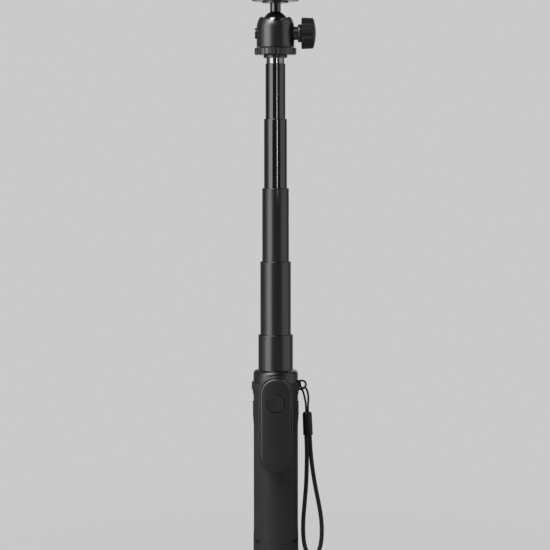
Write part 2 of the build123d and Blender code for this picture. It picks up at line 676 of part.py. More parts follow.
def make_head_floor():
    """The threaded disc that closes the housing from below and holds the stud."""
    with BuildPart() as head_floor:
        with BuildSketch(Plane.XY.offset(HOUSING_BOTTOM)):
            Circle(HOUSING_BORE)
            Circle(STUD_RADIUS, mode=Mode.SUBTRACT)
        extrude(amount=FLOOR_THICKNESS)
    save(head_floor, "head_floor")


def make_ball_housing():
    """A cup with a rounded shoulder, whose rim dips at the front and back like a saddle."""
    lip_angle = asin(RETAINING_HEIGHT / HOUSING_BORE)
    lip_end = (HOUSING_BORE * cos(lip_angle), BALL_HEIGHT + RETAINING_HEIGHT)
    lip_middle = (HOUSING_BORE * cos(lip_angle / 2), BALL_HEIGHT + HOUSING_BORE * sin(lip_angle / 2))
    shoulder = (HOUSING_RADIUS, HOUSING_RIM - HOUSING_SHOULDER)
    rim = (RIM_OUTER_RADIUS, HOUSING_RIM)
    wall_middle = (HOUSING_BORE + HOUSING_RADIUS) / 2
    with BuildPart() as ball_housing:
        with BuildSketch(Plane.XZ):
            with BuildLine():
                Polyline((HOUSING_BORE, BALL_HEIGHT), (HOUSING_BORE, HOUSING_BOTTOM),
                         (HOUSING_RADIUS, HOUSING_BOTTOM), shoulder)
                TangentArc(shoulder, rim, tangent=(0, 1))
                Polyline(rim, (RIM_INNER_RADIUS, HOUSING_RIM), lip_end)
                ThreePointArc(lip_end, lip_middle, (HOUSING_BORE, BALL_HEIGHT))
            make_face()
        revolve(axis=Axis.Z)
        with BuildSketch(Plane.XZ):
            with Locations((0, BALL_HEIGHT + SADDLE_RISE + SADDLE_RADIUS)):
                Circle(SADDLE_RADIUS)
        extrude(amount=2 * HOUSING_RADIUS, both=True, mode=Mode.SUBTRACT)
        clamp_rod(BOSS_RADIUS, wall_middle, BOSS_END - wall_middle)
        clamp_rod(SCREW_RADIUS + RUNNING_GAP, 0, BOSS_END, Mode.SUBTRACT)
        clamp_rod(SIDE_SCREW_HEAD_RADIUS, -SIDE_SCREW_SEAT, -SIDE_SCREW_SEAT, Mode.SUBTRACT)
        clamp_rod(SIDE_SCREW_RADIUS, 0, -SIDE_SCREW_SEAT, Mode.SUBTRACT)
    save(ball_housing, "ball_housing")


def make_side_screw():
    """The slotted screw opposite the knob."""
    with BuildPart() as side_screw:
        clamp_rod(SIDE_SCREW_HEAD_RADIUS, -SIDE_SCREW_END, SIDE_SCREW_END - SIDE_SCREW_SEAT)
        clamp_rod(SIDE_SCREW_RADIUS, -SIDE_SCREW_SEAT, SIDE_SCREW_SEAT - HOUSING_BORE)
        with BuildSketch(Plane.YZ.offset(-SIDE_SCREW_END)):
            with Locations((0, CLAMP_HEIGHT)):
                Rectangle(4 * SIDE_SCREW_HEAD_RADIUS, SIDE_SCREW_SLOT,
                          rotation=SIDE_SCREW_SLOT_TURN)
        extrude(amount=SIDE_SCREW_SLOT, mode=Mode.SUBTRACT)
    save(side_screw, "side_screw")


def make_ball_seat():
    """The plastic pad under the ball, dished to the ball's radius."""
    with BuildPart() as ball_seat:
        with BuildSketch(Plane.XY.offset(FLOOR_TOP)):
            Circle(SEAT_RADIUS)
        extrude(amount=SEAT_TOP - FLOOR_TOP)
        chamfer(ball_seat.edges().group_by(Axis.Z)[-1], EDGE_BREAK)
        with Locations((0, 0, BALL_HEIGHT)):
            Sphere(BALL_RADIUS + RUNNING_GAP, mode=Mode.SUBTRACT)
    save(ball_seat, "ball_seat")


def make_ball_stud():
    """The ball and the stem that carries the platform, turned from one bar."""
    join_height = BALL_HEIGHT + sqrt(BALL_RADIUS ** 2 - STEM_RADIUS ** 2)
    with BuildPart() as ball_stud:
        with Locations((0, 0, BALL_HEIGHT)):
            Sphere(BALL_RADIUS)
        with BuildSketch(Plane.XY.offset(BALL_HEIGHT)):
            Circle(STEM_RADIUS)
        extrude(amount=STEM_TOP - BALL_HEIGHT)
        circles = ball_stud.edges().filter_by(GeomType.CIRCLE)
        fillet(circles.sort_by(lambda edge: abs(edge.arc_center.Z - join_height))[0], STEM_COVE)
        with BuildSketch(Plane.XY.offset(STEM_TOP)):
            Circle(SPIGOT_RADIUS)
        extrude(amount=SPIGOT_REACH)
    save(ball_stud, "ball_stud")


def make_pressure_pin():
    """The nylon pin that the clamp screw pushes on to the ball's flank."""
    with BuildPart() as pressure_pin:
        clamp_rod(SCREW_RADIUS, BALL_RADIUS / 2, PRESSURE_PIN_END - BALL_RADIUS / 2)
        with Locations((0, 0, BALL_HEIGHT)):
            Sphere(BALL_RADIUS + SLIDE_GAP, mode=Mode.SUBTRACT)
    save(pressure_pin, "pressure_pin")


def make_clamp_screw():
    with BuildPart() as clamp_screw:
        clamp_rod(SCREW_RADIUS, CLAMP_SCREW_START, KNOB_RIM - CLAMP_SCREW_START)
    save(clamp_screw, "clamp_screw")


def make_knob_collar():
    with BuildPart() as knob_collar:
        clamp_rod(KNOB_COLLAR_RADIUS, KNOB_START - KNOB_COLLAR_LENGTH, KNOB_COLLAR_LENGTH)
        chamfer(largest_rims(knob_collar, 2), EDGE_BREAK)
        clamp_rod(SCREW_RADIUS, KNOB_START - KNOB_COLLAR_LENGTH, KNOB_COLLAR_LENGTH, Mode.SUBTRACT)
    save(knob_collar, "knob_collar")


def make_clamp_knob():
    """The lobed knob: scallops round a slightly tapered drum with a domed end."""
    tip_radius = KNOB_RADIUS - KNOB_TAPER
    low = CLAMP_HEIGHT
    dome_start = (KNOB_RIM, low + tip_radius - KNOB_EDGE)
    with BuildPart() as clamp_knob:
        with BuildSketch(Plane.XZ):
            with BuildLine():
                Polyline(
                    (KNOB_START, low), (KNOB_START, low + KNOB_RADIUS - KNOB_EDGE),
                    (KNOB_START + KNOB_EDGE, low + KNOB_RADIUS),
                    (KNOB_RIM - KNOB_EDGE, low + tip_radius), dome_start,
                )
                TangentArc((KNOB_END, low), dome_start, tangent=(0, 1))
                Line((KNOB_END, low), (KNOB_START, low))
            make_face()
        revolve(axis=Axis((0, 0, CLAMP_HEIGHT), (1, 0, 0)))
        with BuildSketch(Plane.YZ.offset(KNOB_START)):
            with Locations((0, CLAMP_HEIGHT)):
                with PolarLocations(KNOB_RADIUS + KNOB_SCALLOP_RADIUS - KNOB_SCALLOP_DEPTH, KNOB_LOBES,
                                    start_angle=KNOB_TURN):
                    Circle(KNOB_SCALLOP_RADIUS)
        extrude(amount=KNOB_END - KNOB_START, mode=Mode.SUBTRACT)
        clamp_rod(SCREW_RADIUS, KNOB_START, KNOB_RIM - KNOB_START, Mode.SUBTRACT)
    save(clamp_knob, "clamp_knob")


# Camera platform
def make_platform():
    with BuildPart() as platform:
        with BuildSketch(Plane.XY.offset(PLATFORM_BOTTOM)):
            Circle(PLATFORM_RADIUS)
        extrude(amount=PLATFORM_THICKNESS)
        chamfer(largest_rims(platform, 2), EDGE_BREAK)
        with BuildSketch(Plane.XY.offset(PLATFORM_BOTTOM)):
            with PolarLocations(PLATFORM_RADIUS + PLATFORM_NOTCH_RADIUS - PLATFORM_NOTCH_DEPTH,
                                PLATFORM_NOTCHES):
                Circle(PLATFORM_NOTCH_RADIUS)
        extrude(amount=PLATFORM_THICKNESS, mode=Mode.SUBTRACT)
        with BuildSketch(Plane.XY.offset(PLATFORM_BOTTOM)):
            Circle(PLATFORM_BOSS_RADIUS)
        extrude(amount=-PLATFORM_BOSS_HEIGHT)
        with BuildSketch(Plane.XY.offset(STEM_TOP)):
            Circle(SPIGOT_RADIUS + RUNNING_GAP)
        extrude(amount=SPIGOT_REACH + OPEN_GAP, mode=Mode.SUBTRACT)
        with BuildSketch(Plane.XY.offset(PLATFORM_TOP)):
            Circle(CAMERA_SCREW_HEAD_RADIUS)
        extrude(amount=-CAMERA_SCREW_HEAD, mode=Mode.SUBTRACT)
    save(platform, "platform")


def make_platform_pad():
    """The rubber disc that the camera sits on, with grip rings cut in it."""
    with BuildPart() as platform_pad:
        with BuildSketch(Plane.XY.offset(PLATFORM_TOP)):
            Circle(DECK_PAD_RADIUS)
            Circle(CAMERA_SCREW_RADIUS + OPEN_GAP, mode=Mode.SUBTRACT)
        extrude(amount=DECK_PAD_THICKNESS)
        with BuildSketch(Plane.XY.offset(DECK_TOP)):
            for index in reversed(range(DECK_GROOVES)):
                groove = CAMERA_SCREW_HEAD_RADIUS + index * DECK_GROOVE_PITCH
                Circle(groove + DECK_GROOVE_SIZE)
                Circle(groove, mode=Mode.SUBTRACT)
        extrude(amount=-DECK_GROOVE_SIZE, mode=Mode.SUBTRACT)
    save(platform_pad, "platform_pad")


def make_camera_screw():
    with BuildPart() as camera_screw:
        with BuildSketch(Plane.XY.offset(PLATFORM_TOP - CAMERA_SCREW_HEAD)):
            Circle(CAMERA_SCREW_HEAD_RADIUS)
        extrude(amount=CAMERA_SCREW_HEAD)
        with BuildSketch(Plane.XY.offset(PLATFORM_TOP)):
            Circle(CAMERA_SCREW_RADIUS - CAMERA_SCREW_RELIEF)
        extrude(amount=DECK_PAD_THICKNESS)
        with BuildSketch(Plane.XY.offset(DECK_TOP)):
            Circle(CAMERA_SCREW_RADIUS)
        extrude(amount=CAMERA_SCREW_REACH)
        chamfer(camera_screw.edges().group_by(Axis.Z)[-1], CAMERA_SCREW_CHAMFER)
    save(camera_screw, "camera_screw")


# Remote and its cradle
def rounded_bar(outer, width, length, depth, mode=Mode.ADD):
    """An upright bar with round ends, from this plane towards the front, or back if depth < 0."""
    with BuildSketch(front_plane(outer)) as outline:
        with Locations((0, CRADLE_CENTRE)):
            SlotOverall(length, width, rotation=90)
    extrude(outline.sketch, amount=depth, mode=mode)


def front_disc(outer, height, radius, depth, mode=Mode.ADD):
    """A round bar along Y at this height, from this plane towards the front."""
    with BuildSketch(front_plane(outer)) as disc:
        with Locations((0, height)):
            Circle(radius)
    extrude(disc.sketch, amount=depth, mode=mode)


def make_remote_cradle():
    """The shallow tray that holds the remote, on a foot that hugs the grip."""
    with BuildPart() as remote_cradle:
        rounded_bar(CRADLE_BACK, CRADLE_WIDTH, CRADLE_LENGTH, CRADLE_FLOOR + CRADLE_RIM)
        rounded_bar(CRADLE_FACE, POCKET_WIDTH, POCKET_LENGTH, CRADLE_RIM, Mode.SUBTRACT)
        with BuildSketch(front_plane(CRADLE_BACK)):
            with Locations((0, PEDESTAL_BOTTOM)):
                Rectangle(2 * PEDESTAL_HALF_WIDTH, PEDESTAL_TOP - PEDESTAL_BOTTOM,
                          align=(Align.CENTER, Align.MIN))
        extrude(amount=OUTER_TUBE_RADIUS - CRADLE_BACK)
        with BuildSketch(Plane.XY.offset(PEDESTAL_BOTTOM)):
            Circle(GRIP_RADIUS)
        extrude(amount=PEDESTAL_TOP - PEDESTAL_BOTTOM, mode=Mode.SUBTRACT)
        cradle_screw_rods(CRADLE_SCREW_HEAD_RADIUS, CRADLE_FACE, CRADLE_SCREW_HEAD, Mode.SUBTRACT)
        cradle_screw_rods(CRADLE_SCREW_RADIUS, CRADLE_FACE, CRADLE_SCREW_LENGTH, Mode.SUBTRACT)
    save(remote_cradle, "remote_cradle")


def make_cradle_screws():
    with BuildPart() as cradle_screws:
        cradle_screw_rods(CRADLE_SCREW_HEAD_RADIUS, CRADLE_FACE, CRADLE_SCREW_HEAD)
        cradle_screw_rods(CRADLE_SCREW_RADIUS, CRADLE_FACE, CRADLE_SCREW_LENGTH)
    save(cradle_screws, "cradle_screws")


def make_remote_back_cover():
    """The back shell, with a rim round the coin battery."""
    with BuildPart() as remote_back_cover:
        rounded_bar(REMOTE_REAR, REMOTE_WIDTH, REMOTE_LENGTH, REMOTE_SPLIT - REMOTE_REAR)
        chamfer(remote_back_cover.faces().sort_by(Axis.Y)[-1].edges(), EDGE_BREAK)
        front_disc(REMOTE_REAR + REMOTE_FLOOR, BATTERY_HEIGHT, BATTERY_RADIUS, BATTERY_THICKNESS,
                   Mode.SUBTRACT)
    save(remote_back_cover, "remote_back_cover")


def make_remote_battery():
    with BuildPart() as remote_battery:
        front_disc(REMOTE_REAR + REMOTE_FLOOR, BATTERY_HEIGHT, BATTERY_RADIUS, BATTERY_THICKNESS)
    save(remote_battery, "remote_battery")


def make_remote_board():
    """The circuit board, with the switch that the button presses."""
    with BuildPart() as remote_board:
        rounded_bar(REMOTE_SPLIT, REMOTE_WIDTH - 2 * REMOTE_WALL, REMOTE_LENGTH - 2 * REMOTE_WALL,
                    BOARD_THICKNESS)
        with BuildSketch(front_plane(BOARD_FRONT)):
            with Locations((0, BUTTON_HEIGHT)):
                Rectangle(SWITCH_WIDTH, SWITCH_WIDTH)
        extrude(amount=SWITCH_THICKNESS)
    save(remote_board, "remote_board")


def make_remote_front_cover():
    """The front shell, with a bevelled face and a round well for the button."""
    with BuildPart() as remote_front_cover:
        rounded_bar(REMOTE_SPLIT, REMOTE_WIDTH, REMOTE_LENGTH, REMOTE_FRONT - REMOTE_SPLIT)
        face = remote_front_cover.faces().sort_by(Axis.Y)[0]
        chamfer(face.edges(), REMOTE_BEVEL_WIDTH, REMOTE_BEVEL_DEPTH, reference=face)
        rounded_bar(REMOTE_SPLIT, REMOTE_WIDTH - 2 * REMOTE_WALL, REMOTE_LENGTH - 2 * REMOTE_WALL,
                    FACE_BACK - REMOTE_SPLIT, Mode.SUBTRACT)
        front_disc(FACE_BACK, BUTTON_HEIGHT, BUTTON_RADIUS + BUTTON_RING, REMOTE_FACE, Mode.SUBTRACT)
    save(remote_front_cover, "remote_front_cover")


def make_remote_button():
    """The dished button, held in the well by a flange behind the front shell."""
    flange_front = FACE_BACK - BUTTON_LIFT
    flange_back = flange_front - BUTTON_FLANGE
    button_front = REMOTE_FRONT + BUTTON_PROUD
    stem_end = SWITCH_FRONT + BUTTON_TRAVEL + BUTTON_LIFT
    dish_radius = (BUTTON_RADIUS ** 2 + BUTTON_DISH ** 2) / (2 * BUTTON_DISH)
    with BuildPart() as remote_button:
        front_disc(flange_back, BUTTON_HEIGHT, BUTTON_FLANGE_RADIUS, BUTTON_FLANGE)
        front_disc(flange_front, BUTTON_HEIGHT, BUTTON_RADIUS, button_front - flange_front)
        chamfer(remote_button.faces().sort_by(Axis.Y)[0].edges(), BUTTON_PROUD)
        front_disc(flange_back, BUTTON_HEIGHT, BUTTON_STEM_RADIUS, stem_end - flange_back)
        with Locations((0, -(button_front + dish_radius - BUTTON_DISH), BUTTON_HEIGHT)):
            Sphere(dish_radius, mode=Mode.SUBTRACT)
    save(remote_button, "remote_button")


# Wrist strap
def strand_end(face, spread, depth):
    """A point on one of the ferrule's end faces."""
    return face + FERRULE_ACROSS * spread + Vector(0, depth, 0)


def cord_radii(route):
    """One arc radius for each corner: as large as the shorter of its two runs allows."""
    radii = []
    for before, corner, after in zip(route, route[1:], route[2:]):
        arriving = corner - before
        leaving = after - corner
        half_turn = radians(arriving.get_angle(leaving)) / 2
        radii.append(CORD_BEND_SHARE * min(arriving.length, leaving.length) / tan(half_turn))
    return radii


def make_cord(label, route, diameter):
    """A round cord along straight runs joined by tangent arcs."""
    radii = cord_radii(route)
    with BuildPart() as cord:
        with BuildLine() as path:
            FilletPolyline(*route, radius=radii)
        line = path.wire()
        with BuildSketch(Plane(origin=line @ 0, z_dir=line % 0)):
            Circle(diameter / 2)
        sweep(path=line)
    expected = pi * diameter ** 2 / 4 * line.length
    print(label, "length", round(line.length, 1), "volume ratio", round(cord.part.volume / expected, 4))
    print(label, "radii", [round(radius, 1) for radius in radii])
    save(cord, label)


def make_thin_cord():
    """The thin cord: up from the ferrule, through the eyelet's tunnel, over its bar and back."""
    bend_corner = EYELET_BEND * tan(pi / 8)   # half a side of the octagon round the bend
    up_end = strand_end(FERRULE_TOP, -THIN_CORD_SPREAD, -THIN_CORD_DEPTH)
    down_end = strand_end(FERRULE_TOP, THIN_CORD_SPREAD, THIN_CORD_DEPTH)
    make_cord("thin_cord", [
        up_end,
        up_end + FERRULE_AXIS * THIN_CORD_EXIT,
        Vector(20.4, -0.15, 118.5),
        Vector(19.6, -0.1, 122.5),
        EYELET + Vector(1.6, 0, -2.9),
        EYELET + Vector(-bend_corner, 0, -EYELET_BEND),
        EYELET + Vector(-EYELET_BEND, 0, -bend_corner),
        EYELET + Vector(-EYELET_BEND, 0, bend_corner),
        EYELET + Vector(-bend_corner, 0, EYELET_BEND),
        EYELET + Vector(1.4, 0, 3.6),
        EYELET + Vector(3.7, 0, 2.5),
        EYELET + Vector(3.5, 0, -0.8),
        Vector(22.4, 0.1, 124.3),
        Vector(22.8, 0.2, 119.5),
        down_end + FERRULE_AXIS * THIN_CORD_EXIT,
        down_end,
    ], THIN_CORD_DIAMETER)


def make_wrist_strap():
    """The round strap: a long loop that hangs beside the grip."""
    near_end = strand_end(FERRULE_BOTTOM, -STRAP_SPREAD, -STRAP_DEPTH)
    far_end = strand_end(FERRULE_BOTTOM, STRAP_SPREAD, STRAP_DEPTH)
    make_cord("wrist_strap", [
        near_end,
        near_end - FERRULE_AXIS * STRAP_EXIT,
        Vector(21.4, -0.8, 71.5),
        Vector(21.0, -0.5, 59.5),
        Vector(19.9, -0.2, 46.5),
        Vector(18.9, 0.0, 34.5),
        Vector(18.9, 0.1, 23.5),
        Vector(20.2, 0.1, 15.0),
        Vector(23.2, 0.1, 9.6),
        Vector(27.6, 0.1, 9.3),
        Vector(30.6, 0.1, 14.6),
        Vector(31.9, 0.1, 23.0),
        Vector(31.8, 0.15, 33.5),
        Vector(30.2, 0.3, 44.5),
        Vector(27.6, 0.6, 57.0),
        Vector(25.4, 0.9, 70.0),
        far_end - FERRULE_AXIS * STRAP_EXIT,
        far_end,
    ], STRAP_DIAMETER)


def make_ferrule():
    """The crimped sleeve that joins the thin cord to the strap."""
    height = (FERRULE_TOP - FERRULE_BOTTOM).length
    with BuildPart(Plane(origin=FERRULE_BOTTOM, x_dir=FERRULE_ACROSS, z_dir=FERRULE_AXIS)) as ferrule:
        Cone(FERRULE_BOTTOM_RADIUS, FERRULE_TOP_RADIUS, height, align=BOTTOM)
        fillet(ferrule.edges().group_by(Axis.Z)[-1], FERRULE_ROUNDING)
    save(ferrule, "ferrule")


def make_grip():
    make_base_pad()
    make_base_cap()
    make_base_screws()
    make_grip_body()
    for side, turn in LEG_TURNS.items():
        make_hinge_pin(side, turn)
        make_leg(side, turn)
        make_foot(side, turn)
    make_lower_ring()
    make_strap_ring()
    make_top_collar()


def make_mast():
    make_tubes()
    make_bushes()
    make_mast_plug()
    make_head_collar()
    make_lock_ring()


def make_head():
    make_head_floor()
    make_ball_housing()
    make_side_screw()
    make_ball_seat()
    make_ball_stud()
    make_pressure_pin()
    make_clamp_screw()
    make_knob_collar()
    make_clamp_knob()
    make_platform()
    make_platform_pad()
    make_camera_screw()


def make_remote():
    make_remote_cradle()
    make_cradle_screws()
    make_remote_back_cover()
    make_remote_battery()
    make_remote_board()
    make_remote_front_cover()
    make_remote_button()


def make_strap():
    make_thin_cord()
    make_ferrule()
    make_wrist_strap()


make_grip()
make_mast()
make_head()
make_remote()
make_strap()
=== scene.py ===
# %% [markdown]
# # A selfie stick tripod, dressed for its portrait
#
# This notebook takes the finished mechanical model of a selfie stick and gives it its looks:
# the camera, the light, the cords and a finish for every surface. Nearly everything on the
# real stick is black, so it is the light that draws it. What tells the parts apart is how
# each black surface shines: polished tube, satin tube, soft grip, moulded knob, braided cord.
#
# The mechanical model comes in as fixed pieces, in metres, with +Z up the mast and the
# remote facing -Y. We never move those pieces. We only paint them, or put a finer piece
# in their place.

# %% Load the mechanical model
import json
from math import cos, floor, pi, radians, sin

import bmesh
import bpy
from mathutils import Matrix, Vector


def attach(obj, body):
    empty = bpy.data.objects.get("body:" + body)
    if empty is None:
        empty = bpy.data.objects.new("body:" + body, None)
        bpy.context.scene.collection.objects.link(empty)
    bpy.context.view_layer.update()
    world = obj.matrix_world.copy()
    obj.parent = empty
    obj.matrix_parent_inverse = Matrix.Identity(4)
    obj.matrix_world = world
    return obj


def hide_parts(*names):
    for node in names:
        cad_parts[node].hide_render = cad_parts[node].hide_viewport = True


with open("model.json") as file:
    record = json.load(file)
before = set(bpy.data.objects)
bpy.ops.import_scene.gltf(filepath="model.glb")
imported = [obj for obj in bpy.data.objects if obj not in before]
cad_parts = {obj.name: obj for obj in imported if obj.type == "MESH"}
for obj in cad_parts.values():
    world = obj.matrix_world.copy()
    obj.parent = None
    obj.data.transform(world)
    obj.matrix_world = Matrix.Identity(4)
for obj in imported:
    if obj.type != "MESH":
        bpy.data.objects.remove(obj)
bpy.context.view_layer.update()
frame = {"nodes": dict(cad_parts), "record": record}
nodes = frame["nodes"]
MM = 0.001

# %% [markdown]
# ## The camera
#
# A product photographer stands well back with a long lens, so that the stick's sides stay
# parallel. Here the lens is 144 mm on a 36 mm sensor, a metre and a half away, and looks
# down by three and a half degrees. You can see that tilt in the photograph: the tops of the
# rings curve one way and their bottoms the same way, only a little.
#
# The camera turns about a point on the mast, so its place follows from three numbers: the
# point, the distance and the tilt.

# %% Place the camera
LENS = 144.0
SENSOR = 36.0
CAMERA_DISTANCE = 1.517
CAMERA_TILT = radians(3.5)
CAMERA_ROLL = radians(0.05)
AIM = Vector((-0.0004, 0.0, 0.2053))


def add_object(name, data):
    """Put data into the scene as an object at the origin."""
    thing = bpy.data.objects.new(name, data)
    bpy.context.scene.collection.objects.link(thing)
    return thing


camera_data = bpy.data.cameras.new("camera")
camera_data.lens = LENS
camera_data.sensor_width = SENSOR
camera_data.clip_start = 0.01
camera = add_object("camera", camera_data)
towards_camera = Vector((0, -cos(CAMERA_TILT), sin(CAMERA_TILT)))
camera.location = AIM + towards_camera * CAMERA_DISTANCE
camera.rotation_euler = (pi / 2 - CAMERA_TILT, CAMERA_ROLL, 0)
bpy.context.scene.camera = camera
print("camera at", tuple(round(c, 3) for c in camera.location))

# %% [markdown]
# ## Helpers for materials
#
# A material is a small network of nodes. Writing each link by hand is slow, so these
# helpers make a node, set its values and return it, or join one node to the next.

# %% Nodes and links
def new_material(name):
    """An empty material with a Principled shader, ready to be shaped."""
    material = bpy.data.materials.new(name)
    material.use_nodes = True
    shader = material.node_tree.nodes["Principled BSDF"]
    return material, shader


def add_node(material, kind, **settings):
    """Add a shader node and set its properties, or its inputs, which start with a capital."""
    node = material.node_tree.nodes.new(kind)
    for key, value in settings.items():
        if key[0].isupper():
            node.inputs[key.replace("_", " ")].default_value = value
        else:
            setattr(node, key, value)
    return node


def link(material, source, target):
    """Join a node's output to another node's input."""
    material.node_tree.links.new(source, target)


def calculate(material, operation, first, second):
    """Put two values together, by adding them for instance."""
    maths = add_node(material, "ShaderNodeMath", operation=operation)
    link(material, first, maths.inputs[0])
    link(material, second, maths.inputs[1])
    return maths.outputs["Value"]


def grey(level):
    """A grey colour, opaque, of this level."""
    return (level, level, level, 1)


print("helpers for nodes and links are ready")

# %% [markdown]
# ## Helpers for patterns
#
# No surface has the same gloss and shade all over, and a pattern of noise breaks both up.
# Patterns are laid out on Object coordinates, in metres, which never slide over the surface.
# A noise of scale 40 changes about forty times in a metre, and one of 9000 is finer than a
# pixel of the photograph. The pattern runs from 0 to 1, so each use of it spreads it out
# between two values.

# %% Patterns
def object_coordinates(material, stretch=(1, 1, 1)):
    """Object coordinates in metres, stretched along the axes to draw out a pattern."""
    coordinates = add_node(material, "ShaderNodeTexCoord")
    mapping = add_node(material, "ShaderNodeMapping", Scale=stretch)
    link(material, coordinates.outputs["Object"], mapping.inputs["Vector"])
    return mapping.outputs["Vector"]


def noise(material, vector, scale, detail=2.0):
    """A cloudy pattern from 0 to 1, with this many changes in a metre."""
    pattern = add_node(material, "ShaderNodeTexNoise", Scale=scale, Detail=detail)
    link(material, vector, pattern.inputs["Vector"])
    return pattern.outputs["Fac"]


def spread(material, source, low, high):
    """Turn a pattern that runs from 0 to 1 into one that runs from low to high."""
    ramp = add_node(material, "ShaderNodeMapRange", To_Min=low, To_Max=high)
    link(material, source, ramp.inputs["Value"])
    return ramp.outputs["Result"]


def bump(material, shader, height, strength, distance):
    """Let a pattern raise the surface by up to this distance, in metres."""
    node = add_node(material, "ShaderNodeBump", Strength=strength, Distance=distance)
    link(material, height, node.inputs["Height"])
    link(material, node.outputs["Normal"], shader.inputs["Normal"])


def shade(material, shader, pattern, level, wander):
    """A grey that wanders with the pattern, by this share of its level each way."""
    mix = add_node(material, "ShaderNodeMix", data_type="RGBA")
    mix.inputs["A"].default_value = grey(level * (1 - wander))
    mix.inputs["B"].default_value = grey(level * (1 + wander))
    link(material, pattern, mix.inputs["Factor"])
    link(material, mix.outputs["Result"], shader.inputs["Base Color"])


print("helpers for patterns are ready")

# %% [markdown]
# ## Black anodised aluminium
#
# Anodised tube is metal under a thin dyed glassy skin. It hardly shows as metal: what you
# see is the skin's own reflection, which grows towards the edges, over nearly black. So the
# shader stays non-metallic, with a raised index of refraction, and the finish is all in the
# roughness. Drawn tube also has very faint lines along its length. They come from a noise
# that is squeezed across the tube and stretched along it.

# %% Tube finishes
DRAWN_LINES = 9000
LINE_STRETCH = (1, 1, 0.015)
SLOW_CHANGE = 40


def anodised(name, level, roughness, ior, lines=0.02, wander=0.02, relief=0.000002):
    """Dyed aluminium: dark, with drawn lines along Z and a slow change in gloss."""
    material, shader = new_material(name)
    fine = noise(material, object_coordinates(material, LINE_STRETCH), DRAWN_LINES)
    slow = noise(material, object_coordinates(material), SLOW_CHANGE)
    shader.inputs["IOR"].default_value = ior
    shade(material, shader, slow, level, 0.15)
    gloss = calculate(material, "ADD",
                      spread(material, fine, roughness - lines, roughness + lines),
                      spread(material, slow, -wander, wander))
    link(material, gloss, shader.inputs["Roughness"])
    if relief:
        bump(material, shader, fine, 0.15, relief)
    return material


tube_gloss = anodised("tube_gloss_black", level=0.006, roughness=0.08, ior=2.35,
                      lines=0.01, wander=0.01, relief=0)
tube_satin = anodised("tube_satin_black", level=0.005, roughness=0.29, ior=2.15)
head_black = anodised("head_black", level=0.006, roughness=0.31, ior=2.4)
collar_black = anodised("collar_black", level=0.008, roughness=0.30, ior=2.0, lines=0)
ball_black = anodised("ball_black", level=0.006, roughness=0.14, ior=2.7, lines=0, wander=0.03)
print("anodised finishes: gloss tube, satin tube, head, collar, ball")

# %% [markdown]
# ## Black plastics and rubber
#
# The grip has a soft-touch coat: a matt skin with a grain too fine to see from a step away.
# The remote and the trim round it are moulded a little smoother, in a plastic that shines
# more at its edges, so their index of refraction is raised. Rubber is the most matt of all.
# One function makes them all, because they differ only in gloss and grain. The white nylon
# of the sliding bushes and the remote's circuit board inside are made by it too.

# %% Moulded finishes
GLOSS_CHANGE = 25


def moulded(name, level, roughness, grain_size, grain_height, ior=1.5, wander=0.05):
    """Plastic or rubber with a fine grain, whose size and height are in metres."""
    material, shader = new_material(name)
    place = object_coordinates(material)
    grain = noise(material, place, 1 / grain_size, 3.0)
    slow = noise(material, place, GLOSS_CHANGE)
    shader.inputs["IOR"].default_value = ior
    shade(material, shader, slow, level, 0.2)
    gloss = spread(material, slow, roughness - wander, roughness + wander)
    link(material, gloss, shader.inputs["Roughness"])
    bump(material, shader, grain, 0.4, grain_height)
    return material


soft_black = moulded("soft_black", 0.044, 0.55, grain_size=0.0004, grain_height=0.00002)
knob_black = moulded("knob_black", 0.018, 0.5, grain_size=0.0005, grain_height=0.00003)
remote_black = moulded("remote_black", 0.02, 0.38, grain_size=0.0003, grain_height=0.00001,
                       ior=1.9)
trim_black = moulded("trim_black", 0.045, 0.3, grain_size=0.0003, grain_height=0.00001,
                     ior=1.9)
button_black = moulded("button_black", 0.036, 0.45, grain_size=0.0003, grain_height=0.00001)
rubber_black = moulded("rubber_black", 0.04, 0.62, grain_size=0.0004, grain_height=0.00003)
ferrule_black = moulded("ferrule_black", 0.02, 0.28, grain_size=0.0005, grain_height=0.000005)
nylon = moulded("nylon_white", 0.6, 0.5, grain_size=0.001, grain_height=0.00002)
board_green = moulded("board_green", 0.1, 0.4, grain_size=0.0005, grain_height=0.00001)
print("moulded finishes: grip, knob, remote, trim, button, rubber, ferrule, nylon, board")

# %% [markdown]
# ## Bright metal
#
# The short neck under the ball head is polished chrome. Chrome is almost a mirror, so its
# look is only the room around it: bright panels, with the dark gaps between them. The
# camera screw is plain steel, and the hidden screws are blackened.

# %% Metal finishes
POLISH_MARKS = 3000


def metal(name, level, roughness):
    """Bare metal, whose gloss varies by a fifth."""
    material, shader = new_material(name)
    marks = noise(material, object_coordinates(material), POLISH_MARKS)
    shader.inputs["Base Color"].default_value = grey(level)
    shader.inputs["Metallic"].default_value = 1.0
    gloss = spread(material, marks, roughness * 0.8, roughness * 1.2)
    link(material, gloss, shader.inputs["Roughness"])
    return material


chrome = metal("bright_chrome", level=0.55, roughness=0.05)
steel = metal("steel", level=0.5, roughness=0.3)
screw_black = metal("screw_black", level=0.08, roughness=0.35)
print("metal finishes: chrome, steel, blackened steel")

# %% [markdown]
# ## Painting the mechanical model
#
# Each node of the mechanical model says which finish it should have, by a slot name. So we
# don't paint fifty pieces by hand: a table leads from the slot's name to our material. Two
# pieces get a finish of their own, because on the real stick they shine differently from
# their neighbours: the cradle's rim and the small screw opposite the knob.

